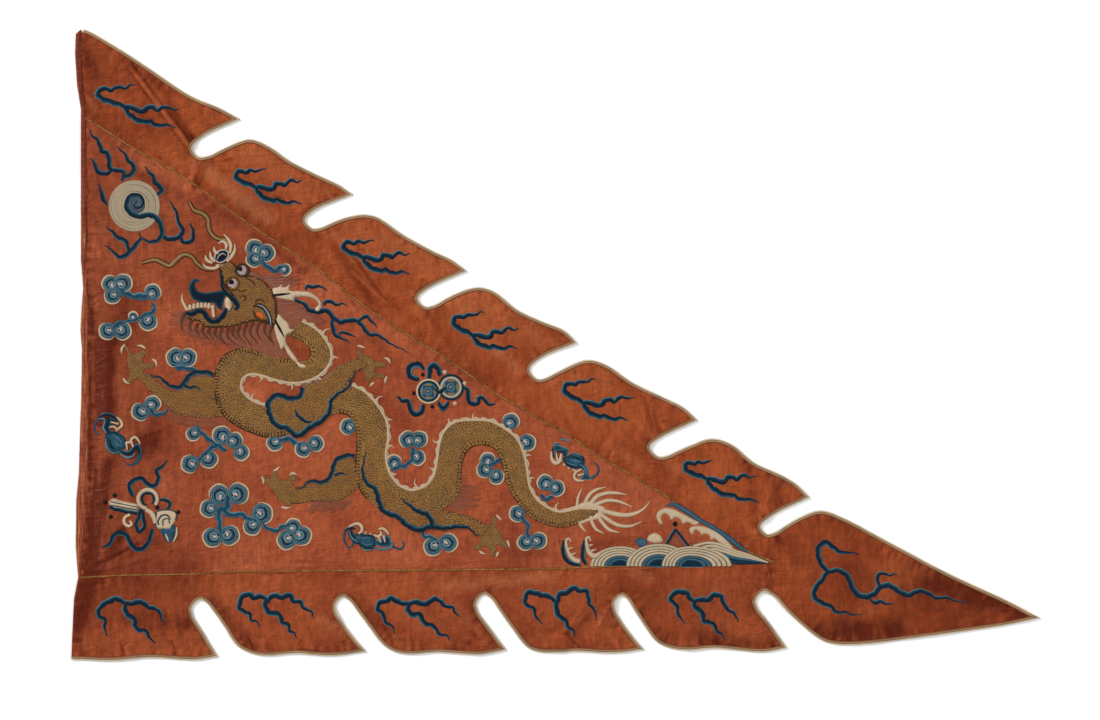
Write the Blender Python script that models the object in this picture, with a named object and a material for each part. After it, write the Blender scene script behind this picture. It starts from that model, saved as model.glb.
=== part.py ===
"""A triangular dragon banner of silk satin, lying face up and nearly flat.

The field is the large triangle. A border cut into flame-shaped teeth runs above it and on into the
long pointed tail, a second border runs below it, a narrow binding follows every toothed edge, and a
rolled heading closes the hoist.

All tables are in millimetres from the lower left corner of the banner's own box, x along the fly and
y up the hoist. The finished model is in metres, with its origin under the middle of that box.
"""

import math

import bpy
import numpy as np
from mathutils.geometry import delaunay_2d_cdt

MM = 0.001
CLOTH_THICKNESS = 1.6  # satin, its backing and the stitching through both
BINDING_WIDTH = 5.0
BINDING_HEIGHT = 2.8  # at the fold, beside the cloth
BINDING_EDGE_HEIGHT = 1.8  # at the outer edge, where the strip turns under
HEADING_EDGE_HEIGHT = 2.0
HEADING_ROLL_HEIGHT = 3.6
PUCKER_HEIGHT = 0.9
PUCKER_LENGTH = 31.0
GAP = 0.3  # between neighbouring pieces
MESH_STEP = 27.0  # between the points inside a panel
LONGEST_EDGE = 22.0  # between two points on an outline
MOST_TURN = math.radians(20)  # of an outline from one edge to the next
HEADING_STEP = 13.0
FINE_FOLD = 30.0  # folds narrower than this get points of their own

# Each row is one tooth of the upper border, from its rounded crest down to its point, then back along
# the roof of the notch, round the notch's blind end and out along its floor.
UPPER_TEETH = [
    # crest, shoulder, brow, slope, cheek, point
    # roof, heel, sole, lip
    ((20, 1011), (60, 990), (124, 949), (190, 905), (237, 885), (270, 867),
     (210, 838), (193.5, 820), (207, 806), (252, 824)),
    ((285, 835), (314, 825), (352, 799), (394, 778), (430, 761), (451, 746),
     (390, 721), (374.5, 705), (388, 692), (432, 707.5)),
    ((465, 714.5), (490, 710), (530, 683), (582, 654.5), (609, 642), (633, 624),
     (570, 595), (554.5, 580), (569, 567), (615, 588)),
    ((650, 598), (677, 591), (714, 562), (762, 540), (788, 529.5), (809, 509),
     (748, 482), (733.5, 466), (748, 451), (788, 468)),
    ((825, 482), (856, 474), (896, 447), (942, 424.5), (980, 405.5), (1002, 385),
     (941, 356), (925.5, 342), (942, 327), (982, 342)),
    ((1024, 356), (1056, 347), (1092, 318), (1133, 299), (1159, 284), (1181, 262),
     (1120, 231.5), (1103, 215), (1115, 203), (1158, 226)),
]
TAIL_TOP = [(1197, 241), (1230, 231.5), (1300, 195), (1402, 141), (1500, 95.5), (1550, 69)]
TAIL_UNDERSIDE = [(1550, 69), (1494, 57), (1390, 42), (1290, 29), (1243, 25.5), (1204, 31), (1154, 70)]

# Each row is one tooth of the lower border, read from the tail towards the hoist: round the top of the
# notch on its right and down to the tooth's point, then along its long wavy hem and up to the next notch.
LOWER_TEETH = [
    # notch top, heel, flank, point
    # hem, dip, hem end, rise, bend
    ((1110, 111), (1094.5, 95), (1120, 57), (1145, 21),
     (1108, 14), (1031, 20), (974, 17.5), (938, 29), (906, 72)),
    ((882, 104), (868.5, 91), (889, 52), (916, 18.5),
     (871, 12.5), (807, 15), (766, 13), (733, 19), (696, 64)),
    ((662, 106), (648, 90), (672, 50), (696, 18),
     (654, 10), (583, 13.5), (532, 11), (503, 22), (469, 64)),
    ((436, 102), (422.5, 88), (443, 50), (472, 15),
     (417, 8), (359, 11.5), (302, 9), (268, 22), (236, 67)),
    ((208, 98), (192.5, 83), (212, 45), (235, 7),
     (199, 1.5), (122, 5), (65, 0), (20, 1.5), (0, 2)),
]
POINT_OF_UPPER = 5  # its column, where the edge turns sharply
POINT_OF_LOWER = 3

# The hoist from its top to the lower seam: the outer edge of the rolled heading and the line where it
# is stitched down to the cloth.
HEADING = [
    # height, outer edge, stitched line
    (1009.8, 14.2, 15.0),
    (1003.0, 7.2, 15.0),
    (971.0, 6.0, 15.4),
    (922.0, 9.0, 18.6),
    (882.0, 15.4, 23.2),
    (642.0, 15.4, 23.4),
    (597.0, 19.0, 24.8),
    (566.0, 16.4, 27.4),
    (531.0, 14.6, 26.0),
    (498.0, 17.0, 26.8),
    (418.0, 15.6, 27.4),
    (344.0, 13.2, 25.8),
    (300.0, 12.0, 26.2),
    (258.0, 8.0, 25.6),
    (184.0, 7.0, 17.6),
    (134.0, 11.0, 13.6),
]
HOIST_FOOT = [(11.0, 134.0), (4.8, 102.0), (3.0, 74.0), (1.5, 40.0), (0.0, 2.0)]

# The stitching lines between the field and its borders, from the hoist to the corner at the neck.
UPPER_SEAM = [
    (23.2, 869), (97, 822), (191, 766), (267, 711), (394, 627), (490, 553), (606, 480),
    (682, 426), (750, 388), (855, 321), (967, 253), (1045, 201), (1116, 157.5),
]
LOWER_SEAM = [(13.6, 134), (92, 137.5), (190, 139.5), (414, 144.5), (750, 148), (833, 151), (1116, 157.5)]
NECK_NOTCH_TOP = (1110, 111)

# Soft folds and creases where the cloth stands off the surface: a straight ridge from one end to the
# other, its half width, and its height at each end.
FOLDS = [
    # x1,  y1,   x2,   y2,  width, height1, height2
    (52, 600, 62, 150, 30, 3.0, 5.0),
    (88, 470, 104, 190, 24, 2.5, 3.5),
    (30, 860, 46, 640, 34, 2.5, 2.0),
    (31, 147, 108, 189, 16, 2.5, 2.0),
    (73, 960, 118, 905, 22, 2.5, 2.5),
    (118, 931, 186, 828, 18, 3.5, 4.5),
    (211, 800, 192, 756, 16, 4.5, 2.0),
    (160, 600, 230, 430, 60, 2.0, 3.0),
    (262, 735, 372, 640, 26, 2.5, 4.0),
    (420, 640, 545, 526, 28, 4.0, 3.0),
    (470, 690, 500, 640, 20, 2.0, 3.0),
    (600, 512, 668, 462, 26, 3.0, 3.0),
    (690, 560, 716, 500, 20, 3.0, 2.0),
    (866, 345, 860, 292, 18, 3.5, 2.0),
    (928, 425, 916, 350, 18, 2.5, 3.5),
    (960, 410, 952, 372, 12, 3.0, 2.0),
    (1130, 292, 1106, 232, 16, 3.0, 3.5),
    (1040, 330, 1030, 240, 22, 2.0, 3.0),
    (1122, 190, 1118, 108, 16, 3.5, 3.5),
    (1148, 196, 1142, 84, 20, 3.0, 2.5),
    (1240, 205, 1216, 60, 30, 2.0, 3.0),
    (1330, 150, 1302, 60, 34, 2.5, 2.0),
    (252, 130, 268, 30, 20, 2.0, 3.0),
    (336, 138, 334, 74, 18, 2.5, 2.0),
    (385, 92, 424, 70, 16, 2.5, 3.0),
    (560, 128, 556, 30, 26, 2.0, 3.0),
    (822, 82, 784, 26, 18, 3.0, 3.0),
    (864, 92, 838, 36, 16, 3.0, 2.0),
    (1010, 130, 990, 34, 26, 2.0, 3.0),
    (20, 90, 120, 30, 30, 2.0, 2.5),
    (330, 330, 560, 270, 70, 1.5, 2.5),
    (600, 330, 760, 200, 60, 2.0, 1.5),
    (380, 470, 470, 400, 50, 2.5, 2.0),
    (130, 330, 250, 200, 60, 2.5, 2.0),
]

OUTLINE = [corner for row in [*UPPER_TEETH, *LOWER_TEETH, TAIL_TOP] for corner in row]
MIDDLE = (np.min(OUTLINE, axis=0) + np.max(OUTLINE, axis=0)) / 2


def clear_scene():
    for obj in list(bpy.data.objects):
        bpy.data.objects.remove(obj)


def cloth_material(name, colour, roughness):
    material = bpy.data.materials.new(name)
    material.use_nodes = True
    shader = material.node_tree.nodes["Principled BSDF"]
    shader.inputs["Base Color"].default_value = (*colour, 1.0)
    shader.inputs["Roughness"].default_value = roughness
    shader.inputs["Metallic"].default_value = 0.0
    return material


def between(start, end, share):
    return start + (end - start) * share


def spline_span(before, start, end, after, shares):
    """Points of a centripetal Catmull-Rom span from start to end, at these shares of its length."""
    spans = ((before, start), (start, end), (end, after))
    knots = np.cumsum([0] + [math.dist(a, b) ** 0.5 for a, b in spans])
    at = between(knots[1], knots[2], np.asarray(shares))[:, None]

    def blend(a, b, low, high):
        return (a * (high - at) + b * (at - low)) / (high - low)

    first = blend(before, start, knots[0], knots[1])
    second = blend(start, end, knots[1], knots[2])
    third = blend(end, after, knots[2], knots[3])
    early = blend(first, second, knots[0], knots[2])
    late = blend(second, third, knots[1], knots[3])
    return blend(early, late, knots[1], knots[2])


def turn_between(before, after):
    """The angle from one direction to the next, positive to the left."""
    cross = before[..., 0] * after[..., 1] - before[..., 1] * after[..., 0]
    dot = (before * after).sum(axis=-1)
    return np.arctan2(cross, dot)


def smooth_run(corners):
    """A smooth line through these corners, with more points where it turns more."""
    corners = np.asarray(corners, float)
    padded = np.vstack([2 * corners[0] - corners[1], corners, 2 * corners[-1] - corners[-2]])
    line = [corners[0]]
    for before, start, end, after in zip(padded, padded[1:], padded[2:], padded[3:]):
        fine = spline_span(before, start, end, after, np.linspace(0, 1, 25))
        steps = np.diff(fine, axis=0)
        length = np.linalg.norm(steps, axis=1).sum()
        turn = np.abs(turn_between(steps[:-1], steps[1:])).sum()
        count = max(math.ceil(length / LONGEST_EDGE), math.ceil(turn / MOST_TURN))
        line.extend(spline_span(before, start, end, after, np.linspace(0, 1, count + 1))[1:])
    return np.array(line)


def toothed_edges():
    """The toothed edge above and the one below, each from the hoist or the tail's point, without doubles."""
    heading_top = (HEADING[0][2], HEADING[0][0])
    runs = []
    corners = [heading_top]
    for row in UPPER_TEETH:
        runs.append(smooth_run(corners + list(row[:POINT_OF_UPPER + 1])))
        corners = list(row[POINT_OF_UPPER:])
    runs.append(smooth_run(corners + TAIL_TOP))
    upper = np.vstack([runs[0]] + [run[1:] for run in runs[1:]])

    runs = []
    corners = list(TAIL_UNDERSIDE)
    for row in LOWER_TEETH:
        runs.append(smooth_run(corners + list(row[:POINT_OF_LOWER + 1])))
        corners = list(row[POINT_OF_LOWER:])
    runs.append(smooth_run(corners))
    lower = np.vstack([runs[0]] + [run[1:] for run in runs[1:]])
    return upper, lower


def line_crossing(point, direction, other, other_direction):
    """Where two lines cross, or the first point moved squarely where they are nearly parallel."""
    cross = direction[0] * other_direction[1] - direction[1] * other_direction[0]
    if abs(cross) < 1e-4:
        return (point + other) / 2
    gap = other - point
    return point + direction * (gap[0] * other_direction[1] - gap[1] * other_direction[0]) / cross


def inset_loop(pieces):
    """A closed line moved inwards, its inside on its left. Each piece is a line and its own distance."""
    points = np.vstack([line[:-1] for line, _ in pieces])
    insets = np.concatenate([np.full(len(line) - 1, distance) for line, distance in pieces])
    ahead = np.roll(points, -1, axis=0) - points
    ahead /= np.linalg.norm(ahead, axis=1)[:, None]
    inwards = np.stack([-ahead[:, 1], ahead[:, 0]], axis=1) * insets[:, None]
    moved = [
        line_crossing(points[i] + inwards[i - 1], ahead[i - 1], points[i] + inwards[i], ahead[i])
        for i in range(len(points))
    ]
    return np.array(moved)


def inset_line(line, distance):
    """An open line moved to its right, square at its ends and mitred at its corners."""
    ahead = np.diff(line, axis=0)
    ahead /= np.linalg.norm(ahead, axis=1)[:, None]
    right = np.stack([ahead[:, 1], -ahead[:, 0]], axis=1) * distance
    moved = [line[0] + right[0]]
    for i in range(1, len(line) - 1):
        corner = line_crossing(line[i] + right[i - 1], ahead[i - 1], line[i] + right[i], ahead[i])
        moved.append(corner)
    moved.append(line[-1] + right[-1])
    return np.array(moved)


def segment_distance(points, start, end):
    """How far each point is from a straight piece, and how far along it the nearest place is, 0 to 1."""
    span = end - start
    share = np.clip(((points - start) @ span) / (span @ span), 0, 1)
    return np.linalg.norm(points - (start + share[:, None] * span), axis=1), share


def relief(points):
    """How far the underside of the cloth stands off the surface."""
    height = np.zeros(len(points))
    for x1, y1, x2, y2, width, height1, height2 in FOLDS:
        start, end = np.array([x1, y1], float), np.array([x2, y2], float)
        distance, share = segment_distance(points, start, end)
        bell = np.where(distance < width, (1 + np.cos(math.pi * distance / width)) / 2, 0)
        height = np.maximum(height, between(height1, height2, share) * bell)
    return height


def inside(points, loop):
    """Which points lie inside a closed loop."""
    found = np.zeros(len(points), bool)
    for (x1, y1), (x2, y2) in zip(loop, np.roll(loop, -1, axis=0)):
        spans = (y1 > points[:, 1]) != (y2 > points[:, 1])
        if y1 != y2:
            crossing = x1 + (points[:, 1] - y1) * (x2 - x1) / (y2 - y1)
            found ^= spans & (points[:, 0] < crossing)
    return found


def clear_of(points, others, distance):
    """Those points that keep this distance from all the others."""
    kept = [np.min(np.linalg.norm(others - point, axis=1)) > distance for point in points]
    return points[np.array(kept, bool)]


def fold_points():
    """Rows of points along the narrow folds, on the crest and at its two feet."""
    rows = []
    for x1, y1, x2, y2, width, *_ in FOLDS:
        if width >= FINE_FOLD:
            continue
        start, end = np.array([x1, y1], float), np.array([x2, y2], float)
        ahead = (end - start) / np.linalg.norm(end - start)
        sideways = np.array([-ahead[1], ahead[0]])
        count = max(2, round(np.linalg.norm(end - start) / MESH_STEP) + 1)
        for share in np.linspace(0, 1, count):
            crest = between(start, end, share)
            rows += [crest + sideways * width * side for side in (-1, 0, 1)]
    return np.array(rows)


def panel_points(loop):
    """A triangular lattice inside the loop, finer at the narrow folds, clear of the loop itself."""
    low, high = loop.min(axis=0), loop.max(axis=0)
    row_step = MESH_STEP * math.sqrt(3) / 2
    lattice = [
        (low[0] + MESH_STEP * (column + 0.5 * (row % 2)), low[1] + row_step * row)
        for row in range(int((high[1] - low[1]) / row_step) + 1)
        for column in range(int((high[0] - low[0]) / MESH_STEP) + 1)
    ]
    folds = fold_points()
    folds = folds[inside(folds, loop)]
    lattice = np.array(lattice)
    lattice = lattice[inside(lattice, loop)]
    if len(folds):
        lattice = clear_of(lattice, folds, 0.5 * MESH_STEP)
    steps = np.roll(loop, -1, axis=0) - loop
    along = [corner + step * share for corner, step in zip(loop, steps) for share in (0, 0.5)]
    chosen = np.vstack([folds, lattice]) if len(folds) else lattice
    return clear_of(chosen, np.array(along), 0.3 * MESH_STEP)


def add_object(name, corners, faces, material):
    """An object from corners in millimetres, moved so that the origin lies under the banner's middle."""
    placed = (np.asarray(corners, float) - [*MIDDLE, 0]) * MM
    mesh = bpy.data.meshes.new(name)
    mesh.from_pydata(placed.tolist(), [], faces)
    mesh.update()
    obj = bpy.data.objects.new(name, mesh)
    obj.data.materials.append(material)
    bpy.context.scene.collection.objects.link(obj)
    return obj


def add_panel(name, pieces, material):
    """A panel of cloth inside these lines: its underside on the relief, its face one thickness higher."""
    loop = inset_loop(pieces)
    count = len(loop)
    points = np.vstack([loop, panel_points(loop)])
    edges = [(i, (i + 1) % count) for i in range(count)]
    flat, _, triangles, *_ = delaunay_2d_cdt([tuple(point) for point in points], edges, [], 1, 1e-4)
    flat = np.array([tuple(point) for point in flat])
    under = np.column_stack([flat, relief(flat)])
    over = under + [0, 0, CLOTH_THICKNESS]
    size = len(flat)
    faces = []
    rim = {}
    for a, b, c in triangles:
        turned = np.cross(flat[b] - flat[a], flat[c] - flat[a]) < 0
        a, b, c = (a, c, b) if turned else (a, b, c)
        faces += [(c, b, a), (a + size, b + size, c + size)]
        for start, end in ((a, b), (b, c), (c, a)):
            if rim.pop((end, start), None) is None:
                rim[(start, end)] = True
    for start, end in rim:
        faces += [(start, end, end + size), (start, end + size, start + size)]
    return add_object(name, np.vstack([under, over]), faces, material)


def add_strip(name, sections, material):
    """A closed strip through these sections, each a ring of corners."""
    ring = len(sections[0])
    corners = np.vstack(sections)
    faces = []
    for at in range(0, len(corners) - ring, ring):
        for i in range(ring):
            a, b = at + i, at + (i + 1) % ring
            faces += [(a, b, b + ring), (a, b + ring, a + ring)]
    last = len(corners) - ring
    faces += [(0, i + 1, i) for i in range(1, ring - 1)]
    faces += [(last, last + i, last + i + 1) for i in range(1, ring - 1)]
    return add_object(name, corners, faces, material)


def add_binding(name, edge, inner, material):
    """The folded strip along a toothed edge: thick beside the cloth and thinner where it turns under."""
    sections = []
    for out, by_cloth, lift, lift_in in zip(edge, inner, relief(edge), relief(inner)):
        sections.append([
            (*out, lift),
            (*out, lift + BINDING_EDGE_HEIGHT),
            (*by_cloth, lift_in + BINDING_HEIGHT),
            (*by_cloth, lift_in),
        ])
    return add_strip(name, sections, material)


def add_heading(name, material):
    """The hem at the hoist, rolled over and puckered by its stitches."""
    table = np.array(HEADING[::-1])
    rises = table[:, 0]
    heights = []
    for low, high in zip(rises, rises[1:]):
        count = max(1, round((high - low) / HEADING_STEP))
        heights.extend(np.linspace(low, high, count, endpoint=False))
    heights = np.array([*heights, rises[-1]])
    heights[0] += GAP
    outer = np.interp(heights, rises, table[:, 1])
    inner = np.interp(heights, rises, table[:, 2])
    sections = []
    for y, left, right in zip(heights, outer, inner):
        lift_left, lift_right = relief(np.array([(left, y), (right, y)]))
        beat = math.cos(y / (3 * PUCKER_LENGTH))
        pucker = PUCKER_HEIGHT * beat * math.sin(2 * math.pi * y / PUCKER_LENGTH)
        share = min(1, (right - left) / 6)
        roll = between(HEADING_EDGE_HEIGHT, HEADING_ROLL_HEIGHT + pucker, share)
        sections.append([
            (left, y, lift_left),
            (left, y, lift_left + HEADING_EDGE_HEIGHT),
            (between(left, right, 0.45), y, between(lift_left, lift_right, 0.45) + roll),
            (right, y, lift_right + HEADING_EDGE_HEIGHT),
            (right, y, lift_right),
        ])
    return add_strip(name, sections, material)


def build():
    clear_scene()
    satin = cloth_material("field_satin", (0.36, 0.066, 0.028), 0.42)
    border_satin = cloth_material("border_satin", (0.41, 0.094, 0.042), 0.42)
    hem_satin = cloth_material("hem_satin", (0.30, 0.11, 0.05), 0.6)
    binding_silk = cloth_material("binding_silk", (0.58, 0.43, 0.29), 0.65)

    upper_edge, lower_edge = toothed_edges()
    upper_seam = np.array(UPPER_SEAM, float)
    lower_seam = np.array(LOWER_SEAM, float)
    neck = int(np.argmin(np.linalg.norm(lower_edge - NECK_NOTCH_TOP, axis=1)))
    neck_seam = np.vstack([upper_seam[-1], lower_edge[neck]])
    stitched = np.array([(inner, height) for height, _, inner in HEADING], float)
    above = stitched[:, 1] > upper_seam[0][1]
    heading_by_border = np.vstack([stitched[above], upper_seam[0]])
    heading_by_field = np.vstack([upper_seam[0], stitched[~above]])

    edge_inset = BINDING_WIDTH + GAP
    add_panel("field", [
        (lower_seam, GAP / 2),
        (upper_seam[::-1], GAP / 2),
        (heading_by_field, GAP),
    ], satin)
    add_panel("upper_border", [
        (upper_seam, GAP / 2),
        (neck_seam, GAP / 2),
        (lower_edge[neck::-1], edge_inset),
        (upper_edge[::-1], edge_inset),
        (heading_by_border, GAP),
    ], border_satin)
    add_panel("lower_border", [
        (np.array(HOIST_FOOT, float), 0),
        (lower_edge[:neck - 1:-1], edge_inset),
        (neck_seam[::-1], GAP / 2),
        (lower_seam[::-1], GAP / 2),
        (np.array([LOWER_SEAM[0], HOIST_FOOT[0]], float), GAP / 2),
    ], border_satin)

    # The two bindings meet at the tail's point, cut along the line that halves it.
    inner_edge = inset_line(np.vstack([upper_edge, lower_edge[1:]]), BINDING_WIDTH)
    tip = len(upper_edge) - 1
    upper_inner, lower_inner = inner_edge[:tip + 1].copy(), inner_edge[tip:].copy()
    cut = inner_edge[tip] - upper_edge[tip]
    aside = np.array([-cut[1], cut[0]]) / np.linalg.norm(cut) * GAP / 2
    for line in (upper_edge, upper_inner):
        line[-1] -= aside
        line[0] += [GAP, 0]
    for line in (lower_edge, lower_inner):
        line[0] += aside
    add_binding("binding_upper", upper_edge, upper_inner, binding_silk)
    add_binding("binding_lower", lower_edge, lower_inner, binding_silk)
    add_heading("hoist_heading", hem_satin)


build()
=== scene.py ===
"""The looks of an embroidered dragon banner: silk satin, a narrow binding and silk and gold thread.

The banner lies face up on a white floor. The design is laid out on squared paper, as an embroiderer
does it: one square is 1.6 mm, counted rightwards and downwards from a corner outside the banner.
"""

import functools
import math

import bmesh
import bpy
import numpy as np
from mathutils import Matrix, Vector, noise
from mathutils.geometry import delaunay_2d_cdt


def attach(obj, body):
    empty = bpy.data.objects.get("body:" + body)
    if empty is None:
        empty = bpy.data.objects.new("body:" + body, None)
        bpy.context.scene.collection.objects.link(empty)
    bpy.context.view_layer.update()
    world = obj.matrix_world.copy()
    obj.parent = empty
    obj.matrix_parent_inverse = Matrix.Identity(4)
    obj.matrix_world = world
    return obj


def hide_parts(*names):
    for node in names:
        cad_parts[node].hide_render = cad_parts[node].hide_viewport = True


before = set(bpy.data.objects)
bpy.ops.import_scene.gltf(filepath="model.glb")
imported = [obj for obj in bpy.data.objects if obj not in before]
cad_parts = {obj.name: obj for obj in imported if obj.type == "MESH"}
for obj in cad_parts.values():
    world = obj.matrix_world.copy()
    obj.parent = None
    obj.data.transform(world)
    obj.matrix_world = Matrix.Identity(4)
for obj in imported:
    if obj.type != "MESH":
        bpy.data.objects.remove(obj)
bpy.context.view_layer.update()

# The camera looks straight down on the middle of the banner from far off, as a copy stand does, so
# that no part of the cloth is drawn smaller than another.
PICTURE_WIDTH = 1.76
PICTURE_CENTRE = (-0.0094, -0.0239)
CAMERA_HEIGHT = 4.889
SENSOR_WIDTH = 36.0
camera = bpy.data.objects.new("camera", bpy.data.cameras.new("camera"))
camera.data.sensor_width = SENSOR_WIDTH
camera.data.lens = SENSOR_WIDTH * CAMERA_HEIGHT / PICTURE_WIDTH
camera.location = (*PICTURE_CENTRE, CAMERA_HEIGHT)
bpy.context.scene.collection.objects.link(camera)
bpy.context.scene.camera = camera
bpy.context.scene.view_settings.view_transform = "Standard"

# Two large soft boxes stand to the left and right of the banner and a white room fills the rest. The
# left one is stronger and lower, so folds have a lit side and a shaded side.
SOFT_BOXES = [
    # name, place, width, watts
    ("soft_box_left", (-8.8, 5.6, 5.2), 3.8, 1240), ("soft_box_right", (4.8, -1.6, 4.6), 2.4, 120),
]
ROOM_LIGHT = 0.58
for name, place, width, watts in SOFT_BOXES:
    lamp = bpy.data.lights.new(name, "AREA")
    lamp.shape = "SQUARE"
    lamp.size = width
    lamp.energy = watts
    stand = bpy.data.objects.new(name, lamp)
    stand.location = place
    stand.rotation_euler = (-Vector(place)).to_track_quat("-Z", "Y").to_euler()
    bpy.context.scene.collection.objects.link(stand)
room = bpy.data.worlds.new("white_room")
room.use_nodes = True
room.node_tree.nodes["Background"].inputs["Color"].default_value = (1.0, 1.0, 1.0, 1.0)
room.node_tree.nodes["Background"].inputs["Strength"].default_value = ROOM_LIGHT
bpy.context.scene.world = room

# The floor is white matt paper, as it lies under a copy stand. It catches a faint shadow round the
# cloth's edge.


def colour(code):
    """A colour written as sRGB hex, turned into the linear values that the shaders take."""
    parts = [int(code[i:i + 2], 16) / 255 for i in (1, 3, 5)]
    return (*[c / 12.92 if c <= 0.04045 else ((c + 0.055) / 1.055) ** 2.4 for c in parts], 1.0)


def set_inputs(material, node, inputs):
    """Sets a node's inputs to values, to sockets, or to the first outputs of other nodes."""
    for name, value in inputs.items():
        if isinstance(value, bpy.types.Node):
            value = value.outputs[0]
        if isinstance(value, bpy.types.NodeSocket):
            material.node_tree.links.new(value, node.inputs[name])
        else:
            node.inputs[name].default_value = value


def add_node(material, kind, inputs=None, ramp=(), **settings):
    """Adds a node with its inputs, the steps of its colour ramp and its own settings."""
    made = material.node_tree.nodes.new("ShaderNode" + kind)
    for name, value in settings.items():
        setattr(made, name, value)
    set_inputs(material, made, inputs or {})
    for i, (place, code) in enumerate(ramp):
        steps = made.color_ramp.elements
        step = steps[i] if i < 2 else steps.new(place)
        step.position = place
        step.color = colour(code)
    return made


def start_material(name):
    """A new material, and the way to put nodes into it."""
    material = bpy.data.materials.new(name)
    material.use_nodes = True
    return material, functools.partial(add_node, material)


def surface(material, inputs):
    """Gives the material's shader these inputs, which ends the material."""
    set_inputs(material, material.node_tree.nodes["Principled BSDF"], inputs)
    return material


FLOOR_REACH = 4.0
paper, put = start_material("white_paper")
fibres = put("TexNoise", {"Scale": 300, "Detail": 3})
tone = put("ValToRGB", {"Fac": fibres}, ramp=[(0.3, "#F9F9F9"), (0.7, "#FDFDFD")])
surface(paper, {"Base Color": tone, "Roughness": 0.9, "Specular IOR Level": 0.1})
floor_mesh = bpy.data.meshes.new("floor")
corners = [(FLOOR_REACH * x, FLOOR_REACH * y, 0) for x, y in ((-1, -1), (1, -1), (1, 1), (-1, 1))]
floor_mesh.from_pydata(corners, [], [(0, 1, 2, 3)])
floor_mesh.materials.append(paper)
floor = bpy.data.objects.new("floor", floor_mesh)
bpy.context.scene.collection.objects.link(floor)

# The banner's cloth is one large triangle of orange-red silk satin and two toothed borders of the same
# stuff, backed and seamed together. It lies nearly flat, with soft folds, creases and small puckers.
SQUARE = 0.0016
PATTERN_CORNER = (-0.8894, 0.5521)
BOX_MIDDLE = (775.0, 505.5)
CLOTH_THICKNESS = 0.0016
BACKING_DEPTH = 0.0014
USUAL_LIFT, LEAST_LIFT, RUMPLE_HEIGHT = 0.5, 0.12, 1.1  # of the cloth's underside, in mm
FOLDS = [
    # the folds of the solid model, in mm from the lower left corner of the banner's box
    # x1,  y1,   x2,   y2,  width, height1, height2
    (52, 600, 62, 150, 30, 3, 5), (88, 470, 104, 190, 24, 2.5, 3.5), (30, 860, 46, 640, 34, 2.5, 2),
    (31, 147, 108, 189, 16, 2.5, 2), (73, 960, 118, 905, 22, 2.5, 2.5), (118, 931, 186, 828, 18, 3.5, 4.5),
    (211, 800, 192, 756, 16, 4.5, 2), (160, 600, 230, 430, 60, 2, 3), (262, 735, 372, 640, 26, 2.5, 4),
    (420, 640, 545, 526, 28, 4, 3), (470, 690, 500, 640, 20, 2, 3), (600, 512, 668, 462, 26, 3, 3),
    (690, 560, 716, 500, 20, 3, 2), (866, 345, 860, 292, 18, 3.5, 2), (928, 425, 916, 350, 18, 2.5, 3.5),
    (960, 410, 952, 372, 12, 3, 2), (1130, 292, 1106, 232, 16, 3, 3.5), (1040, 330, 1030, 240, 22, 2, 3),
    (1122, 190, 1118, 108, 16, 3.5, 3.5), (1148, 196, 1142, 84, 20, 3, 2.5), (1240, 205, 1216, 60, 30, 2, 3),
    (1330, 150, 1302, 60, 34, 2.5, 2), (252, 130, 268, 30, 20, 2, 3), (336, 138, 334, 74, 18, 2.5, 2),
    (385, 92, 424, 70, 16, 2.5, 3), (560, 128, 556, 30, 26, 2, 3), (822, 82, 784, 26, 18, 3, 3),
    (864, 92, 838, 36, 16, 3, 2), (1010, 130, 990, 34, 26, 2, 3), (20, 90, 120, 30, 30, 2, 2.5),
    (330, 330, 560, 270, 70, 1.5, 2.5), (600, 330, 760, 200, 60, 2, 1.5), (380, 470, 470, 400, 50, 2.5, 2),
    (130, 330, 250, 200, 60, 2.5, 2),
]
CREASES = [
    # sharper creases that the solid model leaves out, in squares, the height in mm
    # x1,  y1,    x2,    y2,   half width, height
    (156, 110, 176, 123.4, 3.2, 1.6), (176, 123.4, 188, 141, 3.2, 1.6), (146, 80, 168, 112, 3, -1),
    (168, 112, 187, 144, 3, -1.2), (117, 61, 134, 77, 4, -1.4), (200.7, 161.8, 193.6, 181.4, 2.8, 1.4),
    (257, 229, 300, 257, 4, -1.2), (352, 274, 387, 303, 3.6, 1.4), (387, 303, 409, 331, 3.6, -1.2),
    (455, 349, 481, 366, 3.6, 1.3), (613, 446, 608, 463, 3, -1.6), (608, 463, 611, 478, 3, -1.2),
    (651, 396, 646, 440, 2.2, -1.6), (229, 581, 238, 591, 3, -1.2), (281, 577, 281, 608, 2.6, 1.3),
    (312, 604, 334, 616.5, 3, 1.4), (584, 611, 562, 643, 3, -1.4), (610, 606, 594, 635, 2.8, 1.3),
    (139, 543, 91, 569, 4.5, -1.4), (770, 533, 773, 600, 2.8, -1.5), (777, 536, 780, 604, 2.6, 1.3),
    (785, 540, 788, 600, 3, -1.2), (811, 538, 806, 580, 3.4, 1.2), (668, 398, 660, 420, 2.4, 1.2),
    (676, 405, 668, 428, 2.4, -1), (771, 468, 768, 496, 2.2, -1), (784, 474, 781, 500, 2.2, 1),
    (793, 482, 790, 502, 2, -0.9), (94, 300, 96, 420, 5, -1.6), (96, 420, 92, 560, 5.5, -1.8),
    (108, 330, 106, 470, 5, 1.2),
]
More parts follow.
